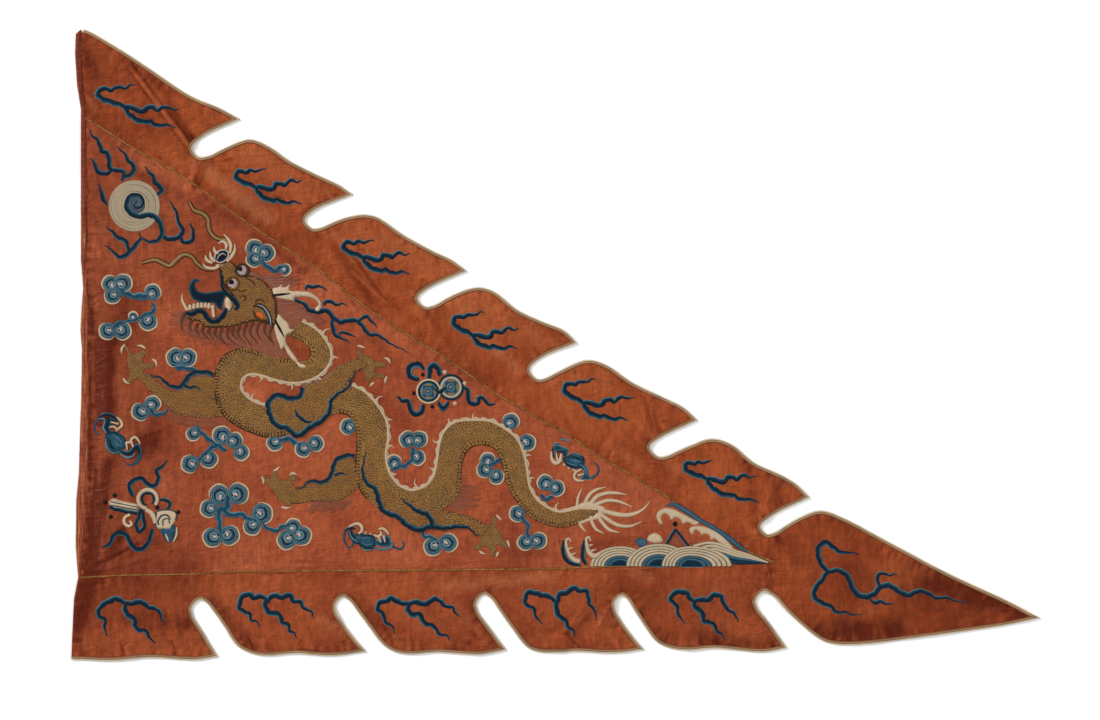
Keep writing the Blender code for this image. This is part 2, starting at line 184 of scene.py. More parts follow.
PAINTED_SHADE_SHEEN_AND_DIRT = [
    # painted shade in folds and creases, and dirt, darken the satin (above 0); painted sheen on the ridges
    # of folds, and wear where rubbing has paled it, lighten it (below 0); in squares
    # x1, y1, x2, y2, half width, amount
    (75, 40, 100, 80, 13, 0.5), (125, 60, 170, 92, 9, 0.35), (145, 110, 152, 135, 9, 0.5),
    (170, 108, 192, 140, 7, 0.5), (203, 152, 196, 184, 8, 0.45), (135, 172, 238, 222, 9, 0.4),
    (255, 236, 305, 272, 9, 0.5), (335, 246, 372, 300, 9, 0.5), (370, 335, 420, 395, 9, 0.35),
    (390, 300, 412, 322, 8, 0.35), (430, 315, 447, 342, 8, 0.3), (490, 378, 496, 398, 8, 0.3),
    (82, 120, 85, 245, 7, 0.6), (80, 270, 91, 325, 9, 0.5), (104, 340, 107, 420, 14, 1),
    (109, 462, 100, 505, 10, 0.6), (100, 500, 90, 575, 13, 0.9), (122, 532, 98, 578, 9, 0.6),
    (86, 590, 74, 648, 12, 0.65), (118, 622, 190, 622, 16, 0.3), (218, 608, 250, 646, 14, 0.6),
    (365, 610, 416, 642, 14, 0.45), (430, 612, 462, 645, 10, 0.25), (548, 634, 575, 612, 5, 0.35),
    (566, 634, 612, 598, 5, 0.35), (648, 634, 780, 646, 16, 0.5), (620, 570, 615, 590, 8, 0.35),
    (820, 632, 892, 630, 22, 0.8), (936, 582, 1026, 616, 18, 0.6), (780, 538, 800, 562, 13, 0.45),
    (772, 548, 766, 592, 8, 0.35), (850, 575, 970, 600, 80, 0.5), (770, 468, 780, 502, 8, 0.6),
    (745, 450, 756, 522, 7, 0.4), (590, 366, 592, 380, 9, 0.4), (645, 398, 656, 428, 7, 0.45),
    (500, 551, 562, 556, 9, 0.3), (590, 546, 652, 536, 10, 0.35), (130, 455, 150, 440, 16, 0.3),
    (208, 172, 268, 218, 14, -0.7), (304, 220, 350, 246, 9, -0.45), (100, 84, 130, 110, 11, -0.3),
    (456, 300, 496, 350, 14, -0.4), (500, 352, 518, 370, 10, -0.5), (390, 392, 420, 418, 11, -0.3),
    (225, 488, 272, 512, 10, -0.35), (445, 586, 552, 576, 11, -0.6), (320, 620, 354, 634, 11, -0.5),
    (458, 608, 486, 645, 8, -0.35), (76, 488, 80, 548, 4, -0.6), (628, 570, 648, 580, 11, -0.5),
    (612, 448, 646, 470, 12, -0.3), (664, 458, 678, 472, 9, -0.4), (84, 95, 96, 112, 7, -0.3),
    (92, 375, 108, 540, 150, 0.5), (150, 200, 300, 360, 70, 0.3), (600, 605, 740, 605, 45, 0.35),
    (100, 60, 150, 130, 40, 0.15), (250, 155, 600, 375, 26, -0.3), (150, 440, 160, 450, 40, 0.25),
    (300, 350, 480, 460, 60, 0.15), (100, 170, 100, 300, 90, 0.3), (90, 610, 190, 620, 60, 0.2),
    (134, 66, 191, 142, 2.4, 0.6), (127.6, 69, 184.6, 147, 1.8, 0.55), (130.5, 68, 188, 145, 1.8, -0.6),
    (97, 335, 99, 425, 3.4, 0.7), (110, 338, 108, 410, 2.6, 0.6), (104, 345, 103, 400, 2.2, -0.5),
    (90, 345, 90, 480, 2.6, 0.4), (97, 470, 92, 560, 3.2, 0.6), (104, 490, 100, 560, 2.4, -0.3),
    (139, 543, 93, 568, 3, 0.6), (150, 560, 104, 571, 2.4, 0.3), (226, 148, 224, 174, 2.2, 0.7),
    (214, 150, 212, 164, 1.8, 0.5), (232, 157, 233, 180, 1.8, 0.5), (280, 175, 278, 200, 2, 0.5),
    (345, 245, 385, 300, 3, 0.6), (352, 272, 388, 304, 2.4, -0.5), (420, 318, 415, 345, 2.2, 0.5),
    (540, 372, 548, 402, 2.2, 0.5), (598, 378, 594, 396, 2, 0.5), (648, 398, 655, 430, 2.2, -0.5),
    (343, 640, 346, 652, 1.8, 0.8), (352, 638, 355, 652, 1.8, 0.8), (338, 642, 338, 652, 1.5, 0.6),
    (384, 625, 396, 650, 3.2, 0.6), (470, 630, 488, 648, 1.8, 0.7), (478, 630, 494, 646, 1.6, 0.6),
    (466, 640, 480, 650, 1.6, 0.5), (565, 632, 580, 648, 1.8, 0.6), (700, 640, 704, 650, 1.8, 0.7),
    (712, 640, 716, 650, 1.6, 0.6), (640, 612, 648, 640, 2.2, 0.5), (205, 618, 214, 640, 2.4, 0.5),
    (120, 640, 124, 654, 1.8, 0.6), (150, 642, 152, 655, 1.6, 0.5), (172, 640, 175, 655, 1.8, 0.6),
    (250, 640, 254, 652, 1.8, 0.6), (268, 642, 271, 652, 1.6, 0.5), (300, 641, 304, 651, 1.8, 0.6),
]
OUTLINE_STEP = 0.002
PUCKER_REACH = 0.022


def on_cloth(squares):
    """Places on the cloth in metres, from places on the squared paper."""
    return np.atleast_2d(np.asarray(squares, float)) * [SQUARE, -SQUARE] + PATTERN_CORNER


def bell_of(places, start, end, width):
    """A smooth hump over a straight line, 1 on the line and 0 at this distance, and the share along it."""
    start, span = np.array(start), np.subtract(end, start)
    share = np.clip(((places - start) @ span) / (span @ span), 0, 1)
    away = np.linalg.norm(places - (start + share[:, None] * span), axis=1)
    return np.where(away < width, (1 + np.cos(math.pi * np.minimum(away / width, 1))) / 2, 0), share


def lie(places):
    """How far the underside of the cloth stands off the floor at these places, in metres."""
    places = np.atleast_2d(places)
    paper_mm = places * 1000 + BOX_MIDDLE
    height = np.zeros(len(places))
    for x1, y1, x2, y2, width, height1, height2 in FOLDS:
        bell, share = bell_of(paper_mm, (x1, y1), (x2, y2), width)
        height = np.maximum(height, (height1 + (height2 - height1) * share) * bell)
    height += USUAL_LIFT
    for x1, y1, x2, y2, width, rise in CREASES:
        start, end = on_cloth([(x1, y1), (x2, y2)])
        bell, share = bell_of(places, start, end, width * SQUARE)
        height += rise * bell * np.minimum(1, 5 * np.minimum(share, 1 - share) + 0.35)
    rumple = np.array([  # waves of about 70 mm, with finer ones of 20 to 30 mm
        noise.noise((x * 14, y * 14, 0.0)) + 0.45 * noise.noise((x * 46, y * 30, 7.0)) for x, y in places
    ])
    return np.maximum(height + RUMPLE_HEIGHT * rumple, LEAST_LIFT) / 1000


def on_face(flat, height):
    """Places on the face of the cloth, raised by this height in mm."""
    return np.column_stack([flat, lie(flat) + CLOTH_THICKNESS + height / 1000])


def painted_shade_sheen_and_dirt_at(places, outline):
    """How much darker (above 0) or paler (below 0) the satin is at these places of a panel.

    Painted shade and painted sheen of folds and creases are added here, with dirt and wear. Every panel is
    puckered and soiled along its outline, where the seams and the binding draw it in, and the puckers are
    painted there as dark and light shade.
    """
    tones = np.zeros(len(places))
    for x1, y1, x2, y2, width, amount in PAINTED_SHADE_SHEEN_AND_DIRT:
        start, end = on_cloth([(x1, y1), (x2, y2)])
        bell, _ = bell_of(places, start, end, width * SQUARE)
        tones += amount * bell
    wander = np.array([  # clouds of wear, from about 60 mm wide down to 6 mm
        0.8 * noise.noise((x * 18, y * 13, 3.0)) + 0.5 * noise.noise((x * 66, y * 34, 4.0))
        + 0.4 * noise.noise((x * 180, y * 64, 5.0)) for x, y in places
    ])
    gaps = [np.linalg.norm(part[:, None] - outline[None], axis=2) for part in np.array_split(places, 60)]
    to_edge = np.concatenate([gap.min(axis=1) for gap in gaps])
    along = np.concatenate([gap.argmin(axis=1) for gap in gaps]) * OUTLINE_STEP
    # the puckers along the outline are painted as shade and light; the steady darkening near it is dirt
    puckers = np.array([noise.noise((a * 120, d * 16, 0.0)) for a, d in zip(along, to_edge)])
    near = np.clip(1 - to_edge / PUCKER_REACH, 0, 1)
    return 1.2 * tones * (1 + 0.5 * wander) + 0.24 * wander + near * (0.12 + 1.1 * puckers)


def satin(name, body, pale, deep):
    """Silk satin: a soft lustre, fine ribs across the piece, rubbed streaks down it and old stains.

    The weave is 0.2 mm in the real cloth, and is drawn at 1.3 mm so that it shows. The tone attribute paints
    shade and sheen into folds, creases and puckers, with dirt and wear, and the small crinkles are painted
    lighter and darker as well as raised.
    """
    material, put = start_material(name)
    place = put("TexCoord").outputs["Object"]
    clouds = put("TexNoise", {"Vector": place, "Scale": 5, "Detail": 4, "Roughness": 0.6})
    tint = put("ValToRGB", {"Fac": clouds}, ramp=[(0.32, deep), (0.68, pale), (0.5, body)])
    down = put("Mapping", {"Vector": place, "Scale": (210, 17, 1)})
    streaks = put("TexNoise", {"Vector": down, "Scale": 1, "Detail": 5, "Roughness": 0.65,
                               "Distortion": 0.5})
    patches = put("TexNoise", {"Vector": place, "Scale": 11, "Detail": 2})
    rubbed = put("MapRange", {"Value": streaks, "From Min": 0.54, "From Max": 0.68})
    where = put("MapRange", {"Value": patches, "From Min": 0.42, "From Max": 0.7})
    share = put("Math", {0: rubbed, 1: where}, operation="MULTIPLY")
    share = put("Math", {0: share, 1: 0.85}, operation="MULTIPLY")
    streaked = put("MixRGB", {"Fac": share, "Color1": tint, "Color2": colour("#5C2212")})
    across = put("Mapping", {"Vector": place, "Scale": (30, 760, 1)})
    ribs = put("TexNoise", {"Vector": across, "Scale": 1, "Detail": 2})
    share = put("MapRange", {"Value": ribs, "From Min": 0.35, "From Max": 0.75, "To Max": 0.3})
    ribbed = put("MixRGB", {"Fac": share, "Color1": streaked, "Color2": colour(pale)})
    spots = put("TexNoise", {"Vector": place, "Scale": 62, "Detail": 2, "Roughness": 0.55})
    share = put("MapRange", {"Value": spots, "From Min": 0.66, "From Max": 0.76, "To Max": 0.6})
    stained = put("MixRGB", {"Fac": share, "Color1": ribbed, "Color2": colour("#5F1F10")})
    # the tone attribute darkens the satin with painted shade and dirt, and pales it with painted sheen and
    # wear
    tone = put("Attribute", attribute_name="tone").outputs["Fac"]
    darker = put("MapRange", {"Value": tone, "From Max": 1.2, "To Max": 0.9})
    paler = put("MapRange", {"Value": tone, "From Max": -1, "To Max": 0.45})
    dirt_and_painted_shade = put("MixRGB", {"Fac": darker, "Color1": stained, "Color2": colour("#4A1005")})
    faded = put("MixRGB", {"Fac": paler, "Color1": dirt_and_painted_shade, "Color2": colour("#B87049")})
    worn = put("MapRange", {"Value": streaks, "From Min": 0.3, "From Max": 0.7, "To Min": 0.4,
                            "To Max": 0.56})
    # the noise that raises the small crinkles also lightens and darkens the colour with them: painted
    # crinkle shade
    puckers = put("Mapping", {"Vector": place, "Scale": (150, 60, 1)})
    puckered = put("TexNoise", {"Vector": puckers, "Scale": 1, "Detail": 3, "Distortion": 0.8})
    light = put("MapRange", {"Value": puckered, "From Min": 0.36, "From Max": 0.64, "To Min": 0.84,
                             "To Max": 1.13})
    uneven = put("MixRGB", {"Fac": 1, "Color1": faded, "Color2": light}, blend_type="MULTIPLY")
    askew = put("Mapping", {"Vector": place, "Rotation": (0, 0, 0.5), "Scale": (34, 70, 1)})
    creases = put("TexNoise", {"Vector": askew, "Scale": 1, "Detail": 2, "Offset": 0.9, "Gain": 1.6,
                               "Distortion": 0.5}, noise_type="RIDGED_MULTIFRACTAL")
    relief = put("Math", {0: streaks, 1: ribs}, operation="ADD")
    relief = put("Math", {0: creases, 1: 1.3, 2: relief}, operation="MULTIPLY_ADD")
    relief = put("Math", {0: relief, 1: puckered}, operation="ADD")
    bump = put("Bump", {"Height": relief, "Strength": 0.55, "Distance": 0.0013})
    return surface(material, {
        "Base Color": uneven, "Roughness": worn, "Normal": bump, "IOR": 1.5, "Specular IOR Level": 0.22,
        "Specular Tint": colour("#F2B79A"), "Sheen Weight": 0.06, "Sheen Roughness": 0.4,
        "Sheen Tint": colour("#E08A62")})


def face_of(node):
    """The upper face of a panel of the solid model, as a mesh to edit."""
    face = bmesh.new()
    face.from_mesh(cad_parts[node].data)
    bmesh.ops.remove_doubles(face, verts=face.verts, dist=1e-6)
    face.normal_update()
    under = [f for f in face.faces if f.normal.z < 0.5]
    bmesh.ops.delete(face, geom=under, context="FACES")
    return face


def show(name, mesh, material):
    """A piece of the banner with a material, smoothly shaded, that rides on the banner."""
    if not isinstance(mesh, bpy.types.Mesh):
        made = bpy.data.meshes.new(name)
        mesh.to_mesh(made)
        mesh.free()
        mesh = made
    mesh.materials.append(material)
    mesh.shade_smooth()
    piece = bpy.data.objects.new(name, mesh)
    bpy.context.scene.collection.objects.link(piece)
    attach(piece, "root")
    return piece


def edge_loop(face):
    """The outline of a panel's face, as a closed row of places in order."""
    links = {}
    for edge in face.edges:
        if edge.is_boundary:
            a, b = edge.verts
            links.setdefault(a, []).append(b)
            links.setdefault(b, []).append(a)
    start = next(iter(links))
    loop = [start]
    while True:
        ahead = [v for v in links[loop[-1]] if len(loop) < 2 or v != loop[-2]]
        if ahead[0] == start:
            return np.array([v.co[:2] for v in loop])
        loop.append(ahead[0])


def edge_run(node, start, end):
    """A panel's outline from one place to another, with the cloth on its right."""
    face = face_of(node)
    loop = edge_loop(face)
    face.free()
    area = np.sum(loop[:, 0] * np.roll(loop[:, 1], -1) - loop[:, 1] * np.roll(loop[:, 0], -1))
    if area > 0:
        loop = loop[::-1]
    first, last = (int(np.argmin(np.linalg.norm(loop - p, axis=1))) for p in (start, end))
    return np.roll(loop, -first, axis=0)[:(last - first) % len(loop) + 1]


def evenly(points, step):
    """A row of points taken anew at about every step of its length."""
    along = np.concatenate([[0], np.cumsum(np.linalg.norm(np.diff(points, axis=0), axis=1))])
    stations = np.linspace(0, along[-1], max(2, round(along[-1] / step) + 1))
    return np.column_stack([np.interp(stations, along, column) for column in points.T])


def line_through(points, step):
    """A smooth line through these points, with a point at about every step of its length."""
    points = np.asarray(points, float)
    padded = np.vstack([2 * points[0] - points[1], points, 2 * points[-1] - points[-2]])
    at = np.linspace(0, 1, 13)[:, None]
    fine = [points[:1]]
    for p0, p1, p2, p3 in zip(padded, padded[1:], padded[2:], padded[3:]):
        k0, k1, k2, k3 = np.cumsum([0, *(max(np.linalg.norm(b - a), 1e-9) ** 0.5
                                         for a, b in ((p0, p1), (p1, p2), (p2, p3)))])
        t = k1 + (k2 - k1) * at
        a1 = (p0 * (k1 - t) + p1 * (t - k0)) / (k1 - k0)
        a2 = (p1 * (k2 - t) + p2 * (t - k1)) / (k2 - k1)
        a3 = (p2 * (k3 - t) + p3 * (t - k2)) / (k3 - k2)
        b1 = (a1 * (k2 - t) + a2 * (t - k0)) / (k2 - k0)
        b2 = (a2 * (k3 - t) + a3 * (t - k1)) / (k3 - k1)
        fine.append(((b1 * (k2 - t) + b2 * (t - k1)) / (k2 - k1))[1:])
    return evenly(np.vstack(fine), step)


FINER_CUTS = 7  # new points along each edge of the solid model's mesh
PANELS = [
    # node, slot, flat size, the cut's area, and the colours: body, pale and deep
    ("field", "field_satin", (1.12, 0.74), 0.39, "#96482B", "#A65637", "#7C331F"),
    ("upper_border", "border_satin", (1.76, 0.24), 0.2, "#8A3C1D", "#9C4D27", "#682A12"),
    ("lower_border", "border_satin", (1.11, 0.15), 0.134, "#8E4122", "#9C4D2B", "#6F2C16"),
]
for node, slot, flat, area, body, pale, deep in PANELS:
    face = face_of(node)
    loop = edge_loop(face)
    outline = evenly(np.vstack([loop, loop[:1]]), OUTLINE_STEP)
    bmesh.ops.subdivide_edges(face, edges=face.edges, cuts=FINER_CUTS, use_grid_fill=True)
    places = np.array([v.co[:2] for v in face.verts])
    for v, height in zip(face.verts, lie(places)):
        v.co.z = height + CLOTH_THICKNESS
    shade = face.verts.layers.float.new("tone")
    for v, tone in zip(face.verts, painted_shade_sheen_and_dirt_at(places, outline)):
        v[shade] = tone
    piece = show(node + "_cloth", face, satin(node + "_cloth_silk", body, pale, deep))
    backing = piece.modifiers.new("backing", "SOLIDIFY")
    backing.thickness = BACKING_DEPTH
    backing.offset = -1.0
    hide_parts(node)

# A narrow silk binding is folded round every toothed edge, in two runs that meet at the tail's point.
# It has a pale rolled outer edge, a groove whose dark brown is painted shade, and a flat inner edge sewn
# to the satin, painted dark red-brown as shade where it turns down to the cloth.
BINDING_STEP = 0.004
TURN_OF_A_CORNER = math.radians(35)
BLUNTED_MITRE = 0.22  # the least cosine of half a corner's turn that a mitre follows


def smooth_with_corners(run, step):
    """A smooth line through a run of points that keeps its sharp corners."""
    ahead = np.diff(run, axis=0)
    cross = ahead[:-1, 0] * ahead[1:, 1] - ahead[:-1, 1] * ahead[1:, 0]
    turn = np.arctan2(cross, (ahead[:-1] * ahead[1:]).sum(axis=1))
    cuts = [0, *(np.flatnonzero(np.abs(turn) > TURN_OF_A_CORNER) + 1), len(run) - 1]
    parts = [line_through(run[a:b + 1], step) for a, b in zip(cuts, cuts[1:])]
    return np.vstack([parts[0], *(part[1:] for part in parts[1:])])


def left_of(line):
    """The direction square to a line at each point, to its left, longer at corners so that edges mitre."""
    ahead = np.diff(line, axis=0)
    ahead /= np.linalg.norm(ahead, axis=1)[:, None]
    before = np.vstack([ahead[:1], ahead])
    after = np.vstack([ahead, ahead[-1:]])
    middle = before + after
    middle /= np.linalg.norm(middle, axis=1)[:, None]
    stretch = 1 / np.maximum((middle * before).sum(axis=1), BLUNTED_MITRE)
    return np.column_stack([-middle[:, 1], middle[:, 0]]) * stretch[:, None]


def add_stitch_map(mesh, maps):
    """Gives a mesh its stitch map, from the map of each of its points."""
    corners = np.zeros(len(mesh.loops), int)
    mesh.loops.foreach_get("vertex_index", corners)
    mesh.uv_layers.new(name="stitch").data.foreach_set("uv", maps[corners].ravel())


def strip(sections):
    """A mesh through cross-sections that all have the same number of points, capped at both ends.

    Its stitch map runs round each section from 0 to 1, and along the strip by number.
    """
    count, size = sections.shape[:2]
    faces = [
        (at * size + i, at * size + (i + 1) % size, (at + 1) * size + (i + 1) % size, (at + 1) * size + i)
        for at in range(count - 1) for i in range(size)
    ]
    faces += [tuple(range(size))[::-1], tuple(range((count - 1) * size, count * size))]
    mesh = bpy.data.meshes.new("strip")
    mesh.from_pydata(sections.reshape(-1, 3).tolist(), [], faces)
    at = np.arange(count * size)
    add_stitch_map(mesh, np.column_stack([at % size / (size - 1), at // size]))
    return mesh


BINDING_PROFILE = [
    # mm outside the panel's edge, mm above the cloth's underside
    (5.3, 0), (5.3, 1.3), (4.9, 2.1), (4.1, 2.5), (3.3, 2.1), (2.9, 1.5), (2.5, 1.5), (2.1, 2.2), (1.2, 2.6),
    (0.2, 2.4), (-0.9, 1.9), (-1.1, 1.3), (-1.1, 0.2), (2, 0),
]
HOIST_TOP, HOIST_FOOT = (-0.757, 0.502), (-0.775, -0.5035)
TAIL_POINT, NECK = (0.770, -0.4365), (0.335, -0.3945)


def binding_silk(name):
    """Silk binding, once cream and now tan: matt, slightly ribbed across, and darker where it is handled."""
    material, put = start_material(name)
    place = put("TexCoord").outputs["Object"]
    wear = put("TexNoise", {"Vector": place, "Scale": 26, "Detail": 4, "Roughness": 0.65})
    round_it = put("SeparateXYZ", {"Vector": put("UVMap", uv_map="stitch")})
    # painted shade: the groove's dark brown and the inner side's dark red-brown where it turns down to the
    # satin
    stripes = put("ValToRGB", {"Fac": round_it}, ramp=[
        (0, "#6E5C46"), (0.85, "#5A2412"), (0.12, "#BDA588"), (0.24, "#C9B294"), (0.33, "#80603F"),
        (0.46, "#70502F"), (0.52, "#A68A68"), (0.64, "#946F4A"), (0.72, "#6A3A20")])
    light = put("MapRange", {"Value": wear, "From Min": 0.3, "From Max": 0.7, "To Min": 0.78,
                             "To Max": 1.12})
    tint = put("MixRGB", {"Fac": 1, "Color1": stripes, "Color2": light}, blend_type="MULTIPLY")
    threads = put("TexNoise", {"Vector": place, "Scale": 700, "Detail": 2})
    bump = put("Bump", {"Height": threads, "Strength": 0.5, "Distance": 0.0004})
    return surface(material, {"Base Color": tint, "Normal": bump, "Roughness": 0.7,
                              "Specular IOR Level": 0.3, "Sheen Weight": 0.1})


binding_cloth = binding_silk("binding_silk")
edge = np.vstack([edge_run("upper_border", HOIST_TOP, NECK), edge_run("lower_border", NECK, HOIST_FOOT)])
edge = smooth_with_corners(edge, BINDING_STEP)
outward = left_of(edge)
at_tail = int(np.argmin(np.linalg.norm(edge - TAIL_POINT, axis=1)))
for node, part in (("binding_upper", slice(None, at_tail + 1)), ("binding_lower", slice(at_tail, None))):
    sections = []
    for out, up in BINDING_PROFILE:
        flat = edge[part] + outward[part] * out / 1000
        sections.append(np.column_stack([flat, lie(flat) + up / 1000]))
    piece = show(node + "_silk", strip(np.stack(sections, axis=1)), binding_cloth)
    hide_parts(node)

# The hoist edge is hemmed by rolling the satin over and drawing it in with running stitches, so the
# narrow roll is puckered all the way down. Handling has worn it brown, most of all lower down.
HEADING = [
    # height, outer edge, stitched line, in mm from the lower left corner of the banner's box
    (1009.8, 14.2, 15), (1003, 7.2, 15), (971, 6, 15.4), (922, 9, 18.6), (882, 15.4, 23.2),
    (642, 15.4, 23.4), (597, 19, 24.8), (566, 16.4, 27.4), (531, 14.6, 26), (498, 17, 26.8),
    (418, 15.6, 27.4), (344, 13.2, 25.8), (300, 12, 26.2), (258, 8, 25.6), (184, 7, 17.6), (134, 11, 13.6),
]
ROLL_HEIGHT = 3.0
PUCKER_STEP = 9.0
HEADING_ROW_STEP = 2.2


def worn_hem(name):
    """Satin rolled into a hem, rubbed through its lustre to tan and brown along the roll."""
    material, put = start_material(name)
    place = put("TexCoord").outputs["Object"]
    down = put("Mapping", {"Vector": place, "Scale": (420, 26, 1)})
    wear = put("TexNoise", {"Vector": down, "Scale": 1, "Detail": 4})
    tint = put("ValToRGB", {"Fac": wear}, ramp=[(0.3, "#5A2214"), (0.74, "#B0825C"), (0.46, "#7E3520"),
                                               (0.6, "#94542F")])
    height = put("SeparateXYZ", {"Vector": place}).outputs["Y"]
    above = put("MapRange", {"Value": height, "From Min": 0.08, "From Max": 0.3, "To Max": 0.72})
    aged = put("MixRGB", {"Fac": above, "Color1": tint, "Color2": colour("#5C1808")})
    bump = put("Bump", {"Height": wear, "Strength": 0.6, "Distance": 0.0008})
    return surface(material, {"Base Color": aged, "Normal": bump, "Roughness": 0.6,
                              "Specular IOR Level": 0.15})


rises, outer_line, stitched_line = np.array(HEADING[::-1]).T
heights = np.arange(rises[0], rises[-1], HEADING_ROW_STEP)
left_edge, right_edge = (np.interp(heights, rises, line) for line in (outer_line, stitched_line))
beat = np.sin(2 * math.pi * heights / PUCKER_STEP + 2.2 * np.sin(heights / 41.0))
gather = 1 + 0.16 * beat + 0.1 * np.sin(heights / 3.1 + 1.0)
sections = []
for turn in np.linspace(0, 2 * math.pi, 12, endpoint=False):
    share = 0.5 - 0.5 * math.cos(turn)
    across = left_edge + (right_edge + 0.9 - left_edge) * share + 0.35 * beat * math.sin(turn) * (1 - share)
    flat = (np.column_stack([across, heights]) - BOX_MIDDLE) / 1000
    thick = np.minimum(ROLL_HEIGHT, 0.8 + 0.5 * (right_edge - left_edge)) * gather
    sections.append(np.column_stack([flat, lie(flat) + thick * (0.5 + 0.5 * math.sin(turn)) / 1000]))
heading = show("hoist_hem", strip(np.stack(sections, axis=1)), worn_hem("worn_satin_hem"))
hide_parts("hoist_heading")

# The seams between the field and its borders are covered by a couched line of gold thread, laid flat
# and tied down, now rubbed to a dull brown in places.
SEAM_LINES = [
    # in squares
    [(85, 118), (112, 134.5), (132, 147.4), (163, 165), (191, 182), (238.5, 216.4), (283, 246.5), (318, 269),
     (349, 294), (378, 315.4), (426, 346.4), (450, 361), (498, 395), (540, 418.7), (566, 433.4),
     (606, 460.5), (635, 476.5), (676, 503), (724.8, 535.7), (744, 549), (773, 562)],
    [(79.5, 577.5), (129, 575), (190, 574), (232, 571.5), (330, 570.6), (540, 568.7), (592, 567),
     (768, 562.6)],
]
CROSS_SECTION = [
    # share of the half width, share of the rise, both from the left edge of a band to its right edge
    (1, None), (0.93, 0.35), (0.55, 0.85), (0, 1), (-0.55, 0.85), (-0.93, 0.35), (-1, None),
]
SUNK_EDGE = -0.2  # mm: the rim of every part is sunk into the cloth, so that no gap shows under it


def band(points, widths, rise=0.7, base=0.15, knobs=0.0, step=1.4):
    """A raised band of stitches along a line: its places, faces and stitch map.

    Points, widths and step are in squares and heights in mm. Knobs is how much the width swells and
    shrinks and the line steps aside. The stitch map runs from 0 at the left edge to 1, and along in metres.
    """
    line = line_through(points, step)
    share = np.linspace(0, 1, len(line))
    width = np.interp(share, np.linspace(0, 1, len(widths)), widths)
    low_edge = np.interp(share, np.linspace(0, 1, np.size(base)), np.atleast_1d(base))
    length = share * np.linalg.norm(np.diff(line, axis=0), axis=1).sum()
    width = width * (1 + 0.7 * knobs * np.sin(length * 0.7 + points[0][0]))
    middle = on_cloth(line)
    left = left_of(middle)
    aside = 3 * knobs * SQUARE * np.sin(length * 0.66 + 0.9 * np.sin(length * 0.23))
    middle = middle + left * aside[:, None]
    rows = []
    maps = []
    for across, up in CROSS_SECTION:
        flat = middle + left * (across * width / 2 * SQUARE)[:, None]
        rows.append(on_face(flat, SUNK_EDGE if up is None else low_edge + rise * up))
        maps.append(np.column_stack([np.full(len(line), (1 - across) / 2), length * SQUARE]))
    return grid(np.stack(rows, axis=1), np.stack(maps, axis=1))


def grid(places, maps):
    """Places, faces and stitch map of a surface given as rows of places."""
    rows, columns = places.shape[:2]
    at = np.arange(rows * columns).reshape(rows, columns)
    faces = np.stack([at[:-1, :-1], at[:-1, 1:], at[1:, 1:], at[1:, :-1]], axis=-1).reshape(-1, 4)
    return places.reshape(-1, 3), faces.tolist(), maps.reshape(-1, 2)


def bands(table, **settings):
    """A band for each row of a table of widths and points."""
    return [band(points, widths, **settings) for widths, points in table]


def arc(centre, radius, start, turn, count=18, sway=0.0):
    """Points of an arc in squares: the angles are in degrees, counted from the right towards the top.

    With some sway it swells and shrinks a little, as a curl laid by hand does.
    """
    angles = np.radians(start + np.linspace(0, turn, count))
    reach = radius * (1 + sway * np.sin(5 * angles + centre[0]) + sway * np.sin(2 * angles + centre[1]))
    return np.column_stack([centre[0] + reach * np.cos(angles), centre[1] - reach * np.sin(angles)])


def ring(centre, radius, width, count=20, **settings):
    """A closed round band."""
    return band(arc(centre, radius, 0, 360, count), [width], **settings)


def sew(name, parts, material):
    """Joins parts of the embroidery into one piece of the banner."""
    places, faces, maps = zip(*parts)
    starts = np.cumsum([0, *map(len, places)])
    mesh = bpy.data.meshes.new(name)
    mesh.from_pydata(np.vstack(places).tolist(), [],
                     [tuple(i + start for i in face) for start, some in zip(starts, faces) for face in some])
    add_stitch_map(mesh, np.vstack(maps))
    return show(name, mesh, material)


def stitched(name, across, thread_mm=1.6, roughness=0.5, metallic=0.0, mottle=0.2):
    """Thread in close stitches: its colours across a band, and its unevenness from stitch to stitch.

    Two or three bare colours run from both edges to the middle. A real thread of floss is 0.3 mm wide,
    and is drawn this many mm wide so that it shows.
    """
    if isinstance(across, tuple):
        places = (0, 0.5, 1) if len(across) == 2 else (0, 0.2, 0.5, 0.8, 1)
        across = list(zip(places, [*across, *across[-2::-1]]))
    material, put = start_material(name)
    place = put("UVMap", uv_map="stitch")
    scaled = put("Mapping", {"Vector": place, "Scale": (1.6, 1000 / thread_mm, 1)})
    threads = put("TexNoise", {"Vector": scaled, "Scale": 1, "Detail": 2})
    patches = put("TexNoise", {"Vector": put("TexCoord").outputs["Object"], "Scale": 95, "Detail": 3})
    uneven = put("MixRGB", {"Fac": 0.4, "Color1": threads, "Color2": patches})
    shift = put("MapRange", {"Value": threads, "To Min": -0.16, "To Max": 0.16})
    moved = put("Math", {0: put("SeparateXYZ", {"Vector": place}), 1: shift}, operation="ADD")
    tint = put("ValToRGB", {"Fac": moved}, ramp=across)
    light = put("MapRange", {"Value": uneven, "From Min": 0.3, "From Max": 0.7, "To Min": 1 - mottle,
                             "To Max": 1 + mottle})
    toned = put("MixRGB", {"Fac": 1, "Color1": tint, "Color2": light}, blend_type="MULTIPLY")
    bump = put("Bump", {"Height": threads, "Strength": 0.3, "Distance": 0.0008})
    return surface(material, {"Base Color": toned, "Normal": bump, "Roughness": roughness,
                              "Metallic": metallic, "Specular IOR Level": 0.5 if metallic else 0.08})


